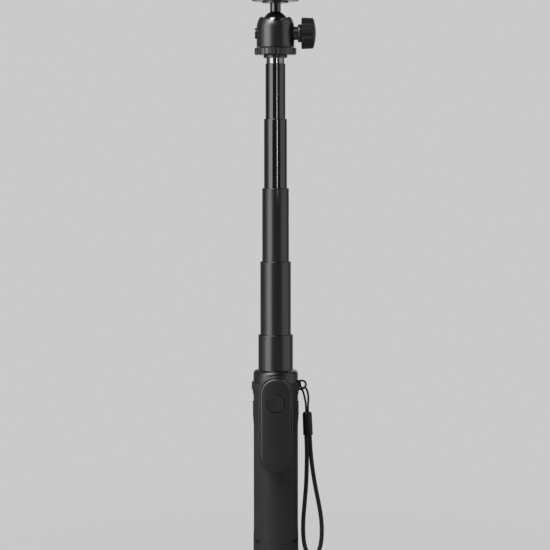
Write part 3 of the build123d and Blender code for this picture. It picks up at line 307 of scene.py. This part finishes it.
# %% Paint the mechanical model
FINISHES = {
    "collar_black": collar_black, "tube_gloss_black": tube_gloss,
    "tube_satin_black": tube_satin, "head_black": head_black, "ball_black": ball_black,
    "bright_chrome": chrome, "soft_black": soft_black, "knob_black": knob_black,
    "remote_black": remote_black, "button_black": button_black,
    "rubber_black": rubber_black, "steel": steel, "screw_black": screw_black,
    "nylon_white": nylon, "board_green": board_green, "ferrule_black": ferrule_black,
}
for part in frame["record"]["subparts"]:
    finish = FINISHES.get(part["material_slot"])
    if finish:
        nodes[part["node"]].data.materials.clear()
        nodes[part["node"]].data.materials.append(finish)
nodes["remote_cradle"].data.materials[0] = trim_black
nodes["side_screw"].data.materials[0] = head_black

# %% [markdown]
# ## Edges that catch the light
#
# No real edge is perfectly sharp. A moulded or turned edge has a small round on it, and that
# round is what draws a thin bright line along each rim. We can't touch the mechanical
# model's meshes, but a modifier only changes what is shown. A Weld modifier joins the loose
# triangles, and a Bevel modifier then rounds each edge that turns by more than an angle.

# %% Round the edges
EDGES = {"remote_cradle": 0.3, "side_screw": 0.6, "remote_button": 0.1, "knob_collar": 0.3}
WELD_DISTANCE = 0.01
TURNED_EDGE = 35


def round_edges(piece, width, angle):
    """Round the edges that turn by more than this angle, to this width in millimetres."""
    bevel = piece.modifiers.new("round", "BEVEL")
    bevel.width = width * MM
    bevel.segments = 2
    bevel.limit_method = "ANGLE"
    bevel.angle_limit = radians(angle)
    bevel.harden_normals = True


for node, width in EDGES.items():
    weld = nodes[node].modifiers.new("join", "WELD")
    weld.merge_threshold = WELD_DISTANCE * MM
    round_edges(nodes[node], width, TURNED_EDGE)
print("rounded edges on", ", ".join(EDGES))

# %% [markdown]
# ## From a bmesh to a piece
#
# New pieces are drawn in millimetres, which are easier to read than metres. The first helper
# scales one down and turns its faces outwards. The second shades it smooth except across
# sharp edges, and lets it ride on a body of the mechanical model, so that it moves with it.

# %% Functions that finish a piece
SHARP_ANGLE = radians(40)


def mesh_data(mesh, name):
    """Turn a bmesh in millimetres into mesh data in metres, with its faces outwards."""
    bmesh.ops.scale(mesh, vec=(MM, MM, MM), verts=mesh.verts)
    bmesh.ops.recalc_face_normals(mesh, faces=mesh.faces)
    data = bpy.data.meshes.new(name)
    mesh.to_mesh(data)
    mesh.free()
    return data


def finish_piece(mesh, name, material, body):
    """Turn a bmesh in millimetres into an object that rides on a body."""
    data = mesh_data(mesh, name)
    data.shade_smooth()
    data.set_sharp_from_angle(angle=SHARP_ANGLE)
    data.materials.append(material)
    piece = add_object(name, data)
    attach(piece, body)
    return piece


print("helpers for new pieces are ready")

# %% [markdown]
# ## The cords
#
# A cord is drawn as a curve. A NURBS curve leans towards its control points without
# passing through them, as a limp cord leans towards a straight line, so a few given points
# give a smooth, natural hang. The points are given in millimetres.

# %% A line through the air
def cord_line(name, points, steps):
    """A smooth open curve, led by these points, given in millimetres."""
    curve = bpy.data.curves.new(name, "CURVE")
    curve.dimensions = "3D"
    spline = curve.splines.new("NURBS")
    spline.points.add(len(points) - 1)
    for slot, point in zip(spline.points, points):
        slot.co = (*(c * MM for c in point), 1)
    spline.order_u = 3
    spline.use_endpoint_u = True
    spline.resolution_u = steps
    return bpy.data.objects.new(name, curve)


print("a helper for the cords' lines is ready")

# %% [markdown]
# ### The braid
#
# Both cords are braided. Half of the strands wind round one way and half the other way, and
# each passes over and under the ones that it meets. A bump texture could suggest that, but
# then the cord's outline would stay smooth. So the skin itself is shaped: the curve gets a
# round section, which makes a tube of rings, and each point of a ring sinks a little where
# it lies between two strands. Two counts tell where a point is in the weave, one for each
# way of winding, and where their whole parts add up to an even number the first way is on
# top.

# %% The pattern of a braid
STRAND_DIP = 0.35


def weave_height(around, along, carriers, pitch):
    """How high the braid stands at a place, from 0 in a gap to 1 on a strand's back."""
    one_way = carriers * (around - along / pitch)
    other_way = carriers * (around + along / pitch)
    over_one_way = (floor(one_way) + floor(other_way)) % 2 == 0
    across, down = (one_way, other_way) if over_one_way else (other_way, one_way)
    dip = 1 - STRAND_DIP + STRAND_DIP * cos(pi * (down % 1 - 0.5))
    return cos(pi * (across % 1 - 0.5)) * dip


def lay_braid(mesh, sides, carriers, pitch, relief):
    """Sink a tube's skin between the strands, ring by ring. Returns its length in mm."""
    mesh.verts.ensure_lookup_table()
    along = 0
    previous = None
    for ring in range(len(mesh.verts) // sides):
        loop = [mesh.verts[ring * sides + side] for side in range(sides)]
        middle = sum((v.co for v in loop), Vector()) / sides
        along += (middle - previous).length / MM if previous else 0
        previous = middle
        for side, vert in enumerate(loop):
            height = weave_height(side / sides, along, carriers, pitch)
            vert.co -= (vert.co - middle).normalized() * relief * MM * (1 - height)
    return along


print("a strand's height at its middle:", weave_height(0.25, 0, 2, 1))

# %% [markdown]
# ### From a line to a cord
#
# The curve gives two things: the points of its middle line, and the tube. The tube's
# two open ends are closed with flat faces.

# %% Make a braided cord
def braided_cord(name, points, diameter, carriers, pitch, sides, steps, relief, material):
    """A round braided cord along a line. Returns the cord and its middle line, in metres."""
    line = cord_line(name, points, steps)
    path = [v.co.copy() for v in bpy.data.meshes.new_from_object(line).vertices]
    line.data.bevel_depth = diameter * MM / 2
    line.data.bevel_resolution = (sides - 4) // 2
    data = bpy.data.meshes.new_from_object(line)
    bpy.data.objects.remove(line)
    mesh = bmesh.new()
    mesh.from_mesh(data)
    length = lay_braid(mesh, sides, carriers, pitch, relief)
    rims = [edge for edge in mesh.edges if edge.is_boundary]
    bmesh.ops.holes_fill(mesh, edges=rims, sides=0)
    bmesh.ops.recalc_face_normals(mesh, faces=mesh.faces)
    mesh.to_mesh(data)
    mesh.free()
    data.shade_smooth()
    data.materials.clear()
    data.materials.append(material)
    cord = add_object(name, data)
    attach(cord, "handle")
    print(name, "has", len(data.vertices), "points and is", round(length, 1), "mm long")
    return cord, path


# %% [markdown]
# ### The cords' finish
#
# Braided thread is dull, and each thread in it is a little lighter or darker than the next.
# A fine noise does both jobs: it varies the shade, and it raises single fibres.

# %% Cord finishes
THREADS = 2500


def braided(name, level):
    """Black thread with a little sheen."""
    material, shader = new_material(name)
    threads = noise(material, object_coordinates(material), THREADS, 3.0)
    shade(material, shader, threads, level, 0.4)
    shader.inputs["Roughness"].default_value = 0.45
    shader.inputs["Sheen Weight"].default_value = 0.1
    bump(material, shader, threads, 0.3, 0.00002)
    return material


cord_black = braided("cord_black", 0.024)
thin_black = braided("thin_cord_black", 0.008)
print("cord finishes:", cord_black.name, "and", thin_black.name)

# %% [markdown]
# ### Where the cords end
#
# Both cords end in the ferrule, a small sleeve that hangs at the stick's right side, tilted
# a little. The thin cord's two strands come out of its top and the strap's out of its
# bottom, side by side and one a little in front of the other.

# %% The ferrule's place
FERRULE_TOP = Vector((21.65, 0, 110.7))
FERRULE_BOTTOM = Vector((22.3, 0, 94.5))
FERRULE_AXIS = (FERRULE_TOP - FERRULE_BOTTOM).normalized()
FERRULE_ACROSS = Vector((0, 1, 0)).cross(FERRULE_AXIS)


def pair_of_ends(place, apart, deep):
    """Two ends side by side: the left one is in front of the right one."""
    offset = FERRULE_ACROSS * apart + Vector((0, deep, 0))
    return place - offset, place + offset


print("ferrule length in mm:", round((FERRULE_TOP - FERRULE_BOTTOM).length, 1))

# %% [markdown]
# ### The thin cord
#
# It leaves the ferrule as two strands and is hitched round the bar of the strap ring's
# eyelet, as a phone charm is. The first strand goes up under the hitch, in at the eyelet's
# lower mouth and out at the upper one, and comes down in front of the bar. There it crosses
# both strands, swings up in a wide arc, goes in at the upper mouth, out at the lower one and
# under the crossing again, down to the ferrule.

# %% Make the thin cord
THIN_CORD = 1.4
THIN_EXIT = 4
EYELET = Vector((17.0, 0, 129.05))
HITCH = [
    (0.2, -0.7, -2.9), (-1.9, -0.7, -2.5), (-3.0, -0.7, 0), (-2.1, -0.7, 2.4),
    (-0.6, -1.2, 3.2), (-0.3, -3.4, 2.6), (-0.1, -4.0, -0.4), (1.5, -2.7, -2.5),
    (3.1, -2.0, -1.4), (4.0, -0.9, 0.6), (3.0, 0.3, 2.7), (0.8, 0.8, 3.1),
    (-1.6, 0.7, 2.7), (-3.0, 0.7, 0), (-1.7, 0.7, -2.5), (0.9, 0.7, -2.9),
]

up_end, down_end = pair_of_ends(FERRULE_TOP, apart=0.65, deep=0.2)
thin_points = [
    up_end, up_end + FERRULE_AXIS * THIN_EXIT,
    (20.6, -0.4, 117.6), (19.5, -0.6, 122.4), (18.6, -0.7, 125.6),
    *(EYELET + Vector(turn) for turn in HITCH),
    (20.1, 0.5, 127.9), (22.0, 0.4, 124.9), (22.7, 0.3, 119.5),
    down_end + FERRULE_AXIS * THIN_EXIT, down_end,
]
thin_cord, thin_path = braided_cord(
    "thin_cord_line", thin_points, THIN_CORD, carriers=6, pitch=3.4, sides=24, steps=24,
    relief=0.09, material=thin_black)
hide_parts("thin_cord")

# %% [markdown]
# ### The ferrule
#
# A moulded sleeve holds the ends of both cords. It is a turned shape with a domed top and a
# small lip at the bottom, so its outline is spun about an axis. Spinning about Z is the
# easiest; then the piece is tipped onto the ferrule's own slanting axis.

# %% Make the ferrule
SLEEVE_OUTLINE = [
    (0, 0), (2.9, 0), (3.25, 0.12), (3.4, 0.4), (3.4, 1.0), (3.28, 1.3), (3.3, 5.0),
    (3.24, 10.0), (3.2, 14.0), (3.1, 14.9), (2.8, 15.6), (2.3, 16.0), (1.6, 16.2), (0, 16.2),
]


def spin_outline(mesh, outline, steps=48):
    """Spin an outline of (radius, height) pairs, which starts and ends on the Z axis."""
    points = [mesh.verts.new((radius, 0, height)) for radius, height in outline]
    lines = [mesh.edges.new(pair) for pair in zip(points, points[1:])]
    bmesh.ops.spin(mesh, geom=points + lines, axis=(0, 0, 1), cent=(0, 0, 0), angle=2 * pi,
                   steps=steps, use_merge=True)
    bmesh.ops.remove_doubles(mesh, verts=mesh.verts, dist=0.001)


sleeve = bmesh.new()
spin_outline(sleeve, SLEEVE_OUTLINE)
tip = Vector((0, 0, 1)).rotation_difference(FERRULE_AXIS).to_matrix()
bmesh.ops.rotate(sleeve, verts=sleeve.verts, matrix=tip)
bmesh.ops.translate(sleeve, verts=sleeve.verts, vec=FERRULE_BOTTOM)
ferrule = finish_piece(sleeve, "ferrule_sleeve", ferrule_black, "handle")
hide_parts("ferrule")
print("ferrule:", len(ferrule.data.polygons), "faces")

# %% [markdown]
# ### The wrist strap
#
# The strap is one round cord with both of its ends in the ferrule. It hangs as a narrow
# loop: the near side almost straight down, the far side bellied out to the right, and a
# wide soft bend at the bottom that just clears the table. It is made as the thin cord is,
# with a coarser braid.

# %% Make the wrist strap
STRAP = 3.0
STRAP_EXIT = 10

near_end, far_end = pair_of_ends(FERRULE_BOTTOM, apart=1.15, deep=1.05)
strap_points = [
    near_end, near_end - FERRULE_AXIS * STRAP_EXIT,
    (21.4, -0.8, 71.5), (21.0, -0.5, 59.5), (19.9, -0.2, 46.5), (18.9, 0.0, 34.5),
    (18.9, 0.1, 23.5), (20.2, 0.1, 15.0), (23.2, 0.1, 9.6), (27.6, 0.1, 9.3),
    (30.6, 0.1, 14.6), (31.9, 0.1, 23.0), (31.8, 0.15, 33.5), (30.2, 0.3, 44.5),
    (27.6, 0.6, 57.0), (25.4, 0.9, 70.0),
    far_end - FERRULE_AXIS * STRAP_EXIT, far_end,
]
wrist_strap, strap_path = braided_cord(
    "wrist_strap_cord", strap_points, STRAP, carriers=8, pitch=9.4, sides=32, steps=38,
    relief=0.2, material=cord_black)
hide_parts("wrist_strap")

# %% [markdown]
# ## The remote's front cover
#
# The cover is an upright bar with round ends, a sloping edge and a face that swells a little
# towards its middle line. The swell is what lets the light fade from left to right across
# it. It could be sculpted from a subdivided box, but a carried loop is exact: a circle is cut
# into an upper and a lower half, the halves are moved apart, and this loop is extruded and
# scaled along a profile, each half about its own centre.

# %% Carry a round-ended loop along a profile
def halves(verts):
    """The verts of a loop's upper and lower halves, each with its side, 1 or -1."""
    return [(side, [v for v in verts if v.co.z * side > 0]) for side in (1, -1)]


def carried_loop(profile, half_span, height, segments=64):
    """A closed shell with round ends, from its back's middle line round to its front's."""
    mesh = bmesh.new()
    ring = bmesh.ops.create_circle(mesh, segments=segments, radius=profile[0][0])["verts"]
    bmesh.ops.rotate(mesh, verts=ring, matrix=Matrix.Rotation(pi / segments, 3, "Z"))
    bmesh.ops.rotate(mesh, verts=ring, matrix=Matrix.Rotation(pi / 2, 3, "X"))
    for side, half in halves(ring):
        bmesh.ops.translate(mesh, verts=half, vec=(0, -profile[0][1], side * half_span))
    edges = mesh.edges[:]
    for (radius, depth), (next_radius, next_depth) in zip(profile, profile[1:]):
        made = bmesh.ops.extrude_edge_only(mesh, edges=edges)["geom"]
        edges = [item for item in made if isinstance(item, bmesh.types.BMEdge)]
        moved = [item for item in made if isinstance(item, bmesh.types.BMVert)]
        grow = next_radius / radius
        for side, half in halves(moved):
            about = Matrix.Translation((0, 0, -side * half_span))
            bmesh.ops.scale(mesh, verts=half, vec=(grow, 1, grow), space=about)
        bmesh.ops.translate(mesh, verts=moved, vec=(0, depth - next_depth, 0))
    bmesh.ops.remove_doubles(mesh, verts=mesh.verts, dist=0.06)
    bmesh.ops.translate(mesh, verts=mesh.verts, vec=(0, 0, height))
    return mesh


print("a helper for round-ended bars is ready")

# %% [markdown]
# ### The cover's profile
#
# The profile is a list of (radius, depth) pairs, where the depth is how far forward of the
# mast's axis a point lies. It starts inside the back, comes round the wall's edge at the
# split with the back cover, climbs the side, turns over the sloping shoulder and ends in the
# middle of the face. The face's points come from a formula, so that the swell is even.

# %% Make the remote's front cover
COVER_SPLIT = 22.05
COVER_RADIUS = 10.7
COVER_INSIDE_RADIUS = 10.1
COVER_INSIDE = 24.65
COVER_FRONT = 26.3
COVER_HALF_SPAN = 21.55
COVER_HEIGHT = 104.0
SHOULDER = [(10.7, 22.9), (10.32, 24.68), (10.22, 24.82), (10.1, 24.9), (9.42, 25.33),
            (9.27, 25.38)]
FACE_EDGE = 9.15
FACE_EDGE_DEPTH = 25.4
FACE_RADII = (8.9, 8.2, 7.3, 6.3, 5.2, 4.0, 2.7, 1.3, 0.02)

profile = [(0.02, COVER_INSIDE), (COVER_INSIDE_RADIUS, COVER_INSIDE),
           (COVER_INSIDE_RADIUS, COVER_SPLIT), (COVER_RADIUS, COVER_SPLIT), *SHOULDER,
           (FACE_EDGE, FACE_EDGE_DEPTH)]
for radius in FACE_RADII:
    swell = (COVER_FRONT - FACE_EDGE_DEPTH) * (1 - (radius / FACE_EDGE) ** 2)
    profile.append((radius, FACE_EDGE_DEPTH + swell))
cover_mesh = carried_loop(profile, COVER_HALF_SPAN, COVER_HEIGHT)
front_cover = finish_piece(cover_mesh, "remote_cover", remote_black, "remote")
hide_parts("remote_front_cover")
print("the face swells by", round(COVER_FRONT - FACE_EDGE_DEPTH, 2), "mm")

# %% [markdown]
# ### Cutting one shape with another
#
# The button sits in a round well. It could be inset from the face's own mesh, but the face
# is made of long strips, and a circle doesn't fit them. A Boolean modifier cuts it as a
# drill would: the tool is a bare mesh, the cut is applied for good, and the tool goes away.

# %% Combine two shapes
def tool_object(mesh):
    """A bmesh in millimetres as a bare object that shapes another."""
    return add_object("tool", mesh_data(mesh, "tool"))


def combine(piece, tool, operation):
    """Cut one mesh object with another for good, and remove the tool."""
    cut = piece.modifiers.new("cut", "BOOLEAN")
    cut.operation = operation
    cut.solver = "EXACT"
    cut.object = tool
    shown = piece.evaluated_get(bpy.context.evaluated_depsgraph_get())
    piece.data = bpy.data.meshes.new_from_object(shown)
    piece.modifiers.clear()
    bpy.data.objects.remove(tool)
    piece.data.set_sharp_from_angle(angle=SHARP_ANGLE)


print("helpers for cutting are ready")

# %% [markdown]
# ### The button's well
#
# The drill is a plain cylinder, laid on its side and pushed into the face until it reaches
# through. Then the well's rim and the cover's outer edge get a small round, as on the
# mechanical model's own edges.

# %% Cut the well for the button
BUTTON_HEIGHT = 119.1
WELL_RADIUS = 6.35
DRILL_LENGTH = 20
RIM_ROUND = 0.3
RIM_EDGE = 50

drill = bmesh.new()
bmesh.ops.create_cone(drill, cap_ends=True, segments=96, radius1=WELL_RADIUS,
                      radius2=WELL_RADIUS, depth=DRILL_LENGTH)
bmesh.ops.rotate(drill, verts=drill.verts, matrix=Matrix.Rotation(pi / 2, 3, "X"))
bmesh.ops.translate(drill, verts=drill.verts, vec=(0, -COVER_FRONT, BUTTON_HEIGHT))
combine(front_cover, tool_object(drill), "DIFFERENCE")
round_edges(front_cover, RIM_ROUND, RIM_EDGE)
print("remote cover:", len(front_cover.data.polygons), "faces")

# %% [markdown]
# ## The cradle's bead
#
# The cradle's rim carries a rounded bead, and its two slopes draw the bright outline round
# the remote: the outer slope catches the left panel on the left side, and the inner slope
# catches it on the right. The same loop is carried round a small closed profile.

# %% Make the cradle's bead
BEAD_PROFILE = [(10.93, 19.9), (10.93, 20.5), (10.96, 20.6), (11.08, 20.78), (11.16, 20.8),
                (11.6, 20.54), (11.68, 20.4), (11.68, 19.9), (10.93, 19.9)]
bead_mesh = carried_loop(BEAD_PROFILE, COVER_HALF_SPAN, COVER_HEIGHT)
bead = finish_piece(bead_mesh, "cradle_bead", trim_black, "handle")
print("cradle bead:", len(bead.data.polygons), "faces")

# %% [markdown]
# ## The legs' heels
#
# Each leg's lower end is cut to a slope behind its hinge, so that it can swing into the grip.
# On the real stick a soft pad fills that slope to the grip's own curve, as far as the swing
# leaves room. A wedge spun about the mast has the curve, and the part of it inside a
# round-ended bar has the leg's outline. Each heel is made at the front and then turned to
# its own leg.

# %% Make the heels
HEEL_OUTLINE = [(15.2, 29.7), (15.2, 22.0), (14.6, 21.6), (13.9, 21.3), (13.2, 21.15)]
HEEL_SPREAD = radians(44)
HEEL_STEPS = 22
HEEL_BAR = [(0.02, 12), (5.5, 12), (5.5, 16), (0.02, 16)]
HEEL_BAR_HALF_SPAN = 4.0
HEEL_BAR_HEIGHT = 30.6
LEG_TURNS = {"right": 60, "left": -60, "back": 180}

for side, turn in LEG_TURNS.items():
    wedge = bmesh.new()
    corners = [wedge.verts.new((0, -radius, height)) for radius, height in HEEL_OUTLINE]
    section = wedge.faces.new(corners)
    start = Matrix.Rotation(-HEEL_SPREAD / 2, 3, "Z")
    bmesh.ops.rotate(wedge, verts=corners, matrix=start)
    bmesh.ops.spin(wedge, geom=corners + list(section.edges) + [section], axis=(0, 0, 1),
                   cent=(0, 0, 0), angle=HEEL_SPREAD, steps=HEEL_STEPS)
    heel = finish_piece(wedge, "leg_heel_" + side, soft_black, "leg_" + side)
    bar = tool_object(carried_loop(HEEL_BAR, HEEL_BAR_HALF_SPAN, HEEL_BAR_HEIGHT))
    combine(heel, bar, "INTERSECT")
    heel.data.transform(Matrix.Rotation(radians(turn), 4, "Z"))
    print(heel.name, "has", len(heel.data.polygons), "faces")

# %% [markdown]
# ## The camera screw
#
# The screw on the platform has the thread that cameras take, a quarter of an inch across
# with twenty turns to the inch. A thread is a ridge wound round a core, and bmesh's spin
# winds it: a small four-sided ridge is turned about the screw's axis and lifted a little
# with each step.

# %% Make the camera screw
SCREW_HEAD_BOTTOM = 396.6
SCREW_HEAD_TOP = 398.0
SCREW_TOP = 405.0
SCREW_HEAD_RADIUS = 5.5
CORE_RADIUS = 2.6
CREST_RADIUS = 3.17
ROOT_RADIUS = 2.5
THREAD_PITCH = 1.27
THREAD_START = 400.0
THREAD_TURNS = 3.3
STEPS_PER_TURN = 40

screw = bmesh.new()
spin_outline(screw, [
    (0, SCREW_HEAD_BOTTOM), (SCREW_HEAD_RADIUS, SCREW_HEAD_BOTTOM),
    (SCREW_HEAD_RADIUS, SCREW_HEAD_TOP), (CORE_RADIUS, SCREW_HEAD_TOP),
    (CORE_RADIUS, SCREW_TOP - 0.7), (CORE_RADIUS - 0.1, SCREW_TOP - 0.4),
    (CORE_RADIUS - 0.6, SCREW_TOP), (0, SCREW_TOP),
])
ridge_outline = [(ROOT_RADIUS, -0.55), (CREST_RADIUS, -0.1), (CREST_RADIUS, 0.1),
                 (ROOT_RADIUS, 0.55)]
ridge = [screw.verts.new((radius, 0, THREAD_START + rise)) for radius, rise in ridge_outline]
ridge_face = screw.faces.new(ridge)
bmesh.ops.spin(screw, geom=ridge + list(ridge_face.edges) + [ridge_face], axis=(0, 0, 1),
               cent=(0, 0, 0), dvec=(0, 0, THREAD_PITCH / STEPS_PER_TURN),
               angle=2 * pi * THREAD_TURNS, steps=int(STEPS_PER_TURN * THREAD_TURNS))
camera_screw = finish_piece(screw, "camera_screw_thread", steel, "camera_deck")
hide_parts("camera_screw")
print("camera screw:", len(camera_screw.data.polygons), "faces")

# %% [markdown]
# ## The ring behind the knob
#
# A thin rubber ring sits on the clamp screw between the knob's collar and the housing. It
# keeps sand out of the thread, and it closes the gap that you would otherwise see through.
# It is a small circle spun all the way round the clamp's axis.

# %% Make the ring
CLAMP_HEIGHT = 371.1
RING_MIDDLE = 15.15
RING_RADIUS = 4.2
RING_SECTION = 0.17

seal = bmesh.new()
section = bmesh.ops.create_circle(seal, segments=12, radius=RING_SECTION)["verts"]
bmesh.ops.translate(seal, verts=section, vec=(0, RING_RADIUS, 0))
bmesh.ops.spin(seal, geom=section + seal.edges[:], axis=(1, 0, 0), cent=(0, 0, 0),
               angle=2 * pi, steps=48, use_merge=True)
bmesh.ops.translate(seal, verts=seal.verts, vec=(RING_MIDDLE, 0, CLAMP_HEIGHT))
seal_ring = finish_piece(seal, "clamp_seal_ring", rubber_black, "clamp_handle")
print("seal ring:", len(seal_ring.data.polygons), "faces")

# %% [markdown]
# ## The studio's ground
#
# The photograph has a plain grey ground with no floor line. The camera and the mirrors on
# the object see it as a flat grey, which is made by emission. Close to the stick a twentieth
# of it is still an ordinary lit surface, so that the stick's shadow shows softly there and
# fades away. Mirrors see the ground dimmer than the camera does, because a black shiny tube
# would otherwise look grey.

# %% The ground's material
GROUND = 0.59
MIRRORED = 0.25
SHADOW_NEAR = 0.1
SHADOW_FAR = 0.5
FLAT_AT_STICK = 0.95


def ground_material():
    """Grey that the camera and mirrors see flat, mixed with a lit part that takes shadows."""
    material, lit = new_material("ground")
    lit.inputs["Base Color"].default_value = grey(GROUND)
    lit.inputs["Roughness"].default_value = 0.9
    lit.inputs["Specular IOR Level"].default_value = 0.1
    flat = add_node(material, "ShaderNodeEmission", Color=grey(GROUND))
    rays = add_node(material, "ShaderNodeLightPath").outputs
    glow = spread(material, rays["Is Glossy Ray"], 1.0, MIRRORED)
    link(material, glow, flat.inputs["Strength"])
    seen = calculate(material, "MAXIMUM", rays["Is Camera Ray"], rays["Is Glossy Ray"])
    far = add_node(material, "ShaderNodeVectorMath", operation="LENGTH")
    link(material, object_coordinates(material), far.inputs[0])
    fade = add_node(material, "ShaderNodeMapRange", interpolation_type="SMOOTHSTEP",
                    From_Min=SHADOW_NEAR, From_Max=SHADOW_FAR, To_Min=FLAT_AT_STICK)
    link(material, far.outputs["Value"], fade.inputs["Value"])
    mix = add_node(material, "ShaderNodeMixShader")
    share = calculate(material, "MULTIPLY", seen, fade.outputs["Result"])
    link(material, share, mix.inputs["Fac"])
    link(material, lit.outputs["BSDF"], mix.inputs[1])
    link(material, flat.outputs["Emission"], mix.inputs[2])
    output = material.node_tree.nodes["Material Output"]
    link(material, mix.outputs["Shader"], output.inputs["Surface"])
    return material


ground_grey = ground_material()
print("ground material:", len(ground_grey.node_tree.nodes), "nodes")

# %% [markdown]
# ### Floor and backdrop
#
# A photographer hangs a roll of paper behind the object and lets it run out over the table,
# so that there is no corner. Here an edge on the floor, far in front, is pushed back past
# the object, curved up in small steps and raised: one bent sheet.

# %% Make the floor and backdrop
FLOOR_FRONT = -4.0
COVE_START = 2.4
COVE_RADIUS = 1.0
COVE_STEPS = 24
BACKDROP_TOP = 4.0
BACKDROP_HALF_WIDTH = 5.0


def push(mesh, edges, offset):
    """Extrude edges by this offset, and return the new ones."""
    made = bmesh.ops.extrude_edge_only(mesh, edges=edges)["geom"]
    moved = [item for item in made if isinstance(item, bmesh.types.BMVert)]
    bmesh.ops.translate(mesh, verts=moved, vec=offset)
    return [item for item in made if isinstance(item, bmesh.types.BMEdge)]


paper = bmesh.new()
corners_x = (-BACKDROP_HALF_WIDTH, BACKDROP_HALF_WIDTH)
front = [paper.verts.new((x, FLOOR_FRONT, 0)) for x in corners_x]
edge = push(paper, [paper.edges.new(front)], Vector((0, COVE_START - FLOOR_FRONT, 0)))
for step in range(COVE_STEPS):
    turn = radians(90) * (step + 0.5) / COVE_STEPS
    length = COVE_RADIUS * radians(90) / COVE_STEPS
    edge = push(paper, edge, Vector((0, cos(turn), sin(turn))) * length)
push(paper, edge, Vector((0, 0, BACKDROP_TOP)))
paper_data = bpy.data.meshes.new("ground")
paper.to_mesh(paper_data)
paper.free()
paper_data.shade_smooth()
paper_data.materials.append(ground_grey)
ground = add_object("ground", paper_data)
print("ground from", FLOOR_FRONT, "to", COVE_START + COVE_RADIUS)

# %% [markdown]
# ## The lights
#
# A black shiny tube shows nothing but what it mirrors, so the lights are panels, and each
# one is there for a mark that it leaves. A broad soft panel on the left makes the wide
# highlight, with a dimmer one beyond it. A narrow strip close to the upper tubes draws their
# thin bright line. A dim panel lifts the right edge. A high one puts the spot on the ball
# and on the rounded collar, and a last one behind the stick shows its back.
#
# The panels face the mast. Their glow is their brightness as seen in a mirror, so the power
# grows with their size.

# %% Lights
def make_panel(name, azimuth, distance, height, width, tall, glow, aim=None):
    """A soft light panel that stands round the object and faces it, as bright as its glow.

    Azimuth is in degrees from the camera's side, positive to the right."""
    data = bpy.data.lights.new(name, "AREA")
    data.shape = "RECTANGLE"
    data.size = width
    data.size_y = tall
    data.energy = glow * pi * width * tall
    panel = add_object(name, data)
    turn = radians(azimuth)
    panel.location = (sin(turn) * distance, -cos(turn) * distance, height)
    panel.visible_camera = False
    facing = Vector((0, 0, height if aim is None else aim)) - panel.location
    panel.rotation_euler = facing.to_track_quat("-Z", "Y").to_euler()
    return panel


make_panel("left_panel", azimuth=-52.5, distance=0.6, height=0.6, width=0.43, tall=1.3, glow=1.4)
make_panel("far_left_panel", azimuth=-86, distance=0.6, height=0.45, width=0.25, tall=0.9,
           glow=0.25)
line_strip = make_panel("line_strip", azimuth=16, distance=0.12, height=0.309, width=0.0065,
                        tall=0.1, glow=0.028)
line_strip.data.spread = radians(10)
make_panel("right_panel", azimuth=78, distance=0.6, height=0.45, width=0.68, tall=0.9, glow=0.32)
make_panel("high_lamp", azimuth=-35, distance=2.0, height=2.6, width=1.5, tall=1.9, glow=3.9,
           aim=0.25)
make_panel("back_panel", azimuth=168, distance=0.8, height=0.45, width=0.5, tall=0.9, glow=0.8)
print("lights:", ", ".join(light.name for light in bpy.data.lights))

# %% [markdown]
# ### The sky
#
# Past the paper's edges there is only the world. The camera sees it in the ground's grey,
# so that no edge shows from any side, but it hardly lights the object.

# %% The world and the view
SKY_LIGHT = 0.05

world = bpy.data.worlds.new("studio")
world.use_nodes = True
sky = world.node_tree.nodes["Background"]
sky.inputs["Color"].default_value = grey(GROUND)
sight = add_node(world, "ShaderNodeLightPath").outputs["Is Camera Ray"]
link(world, spread(world, sight, SKY_LIGHT, 1.0), sky.inputs["Strength"])
bpy.context.scene.world = world
bpy.context.scene.view_settings.view_transform = "Standard"
print("the sky lights the object at", SKY_LIGHT)
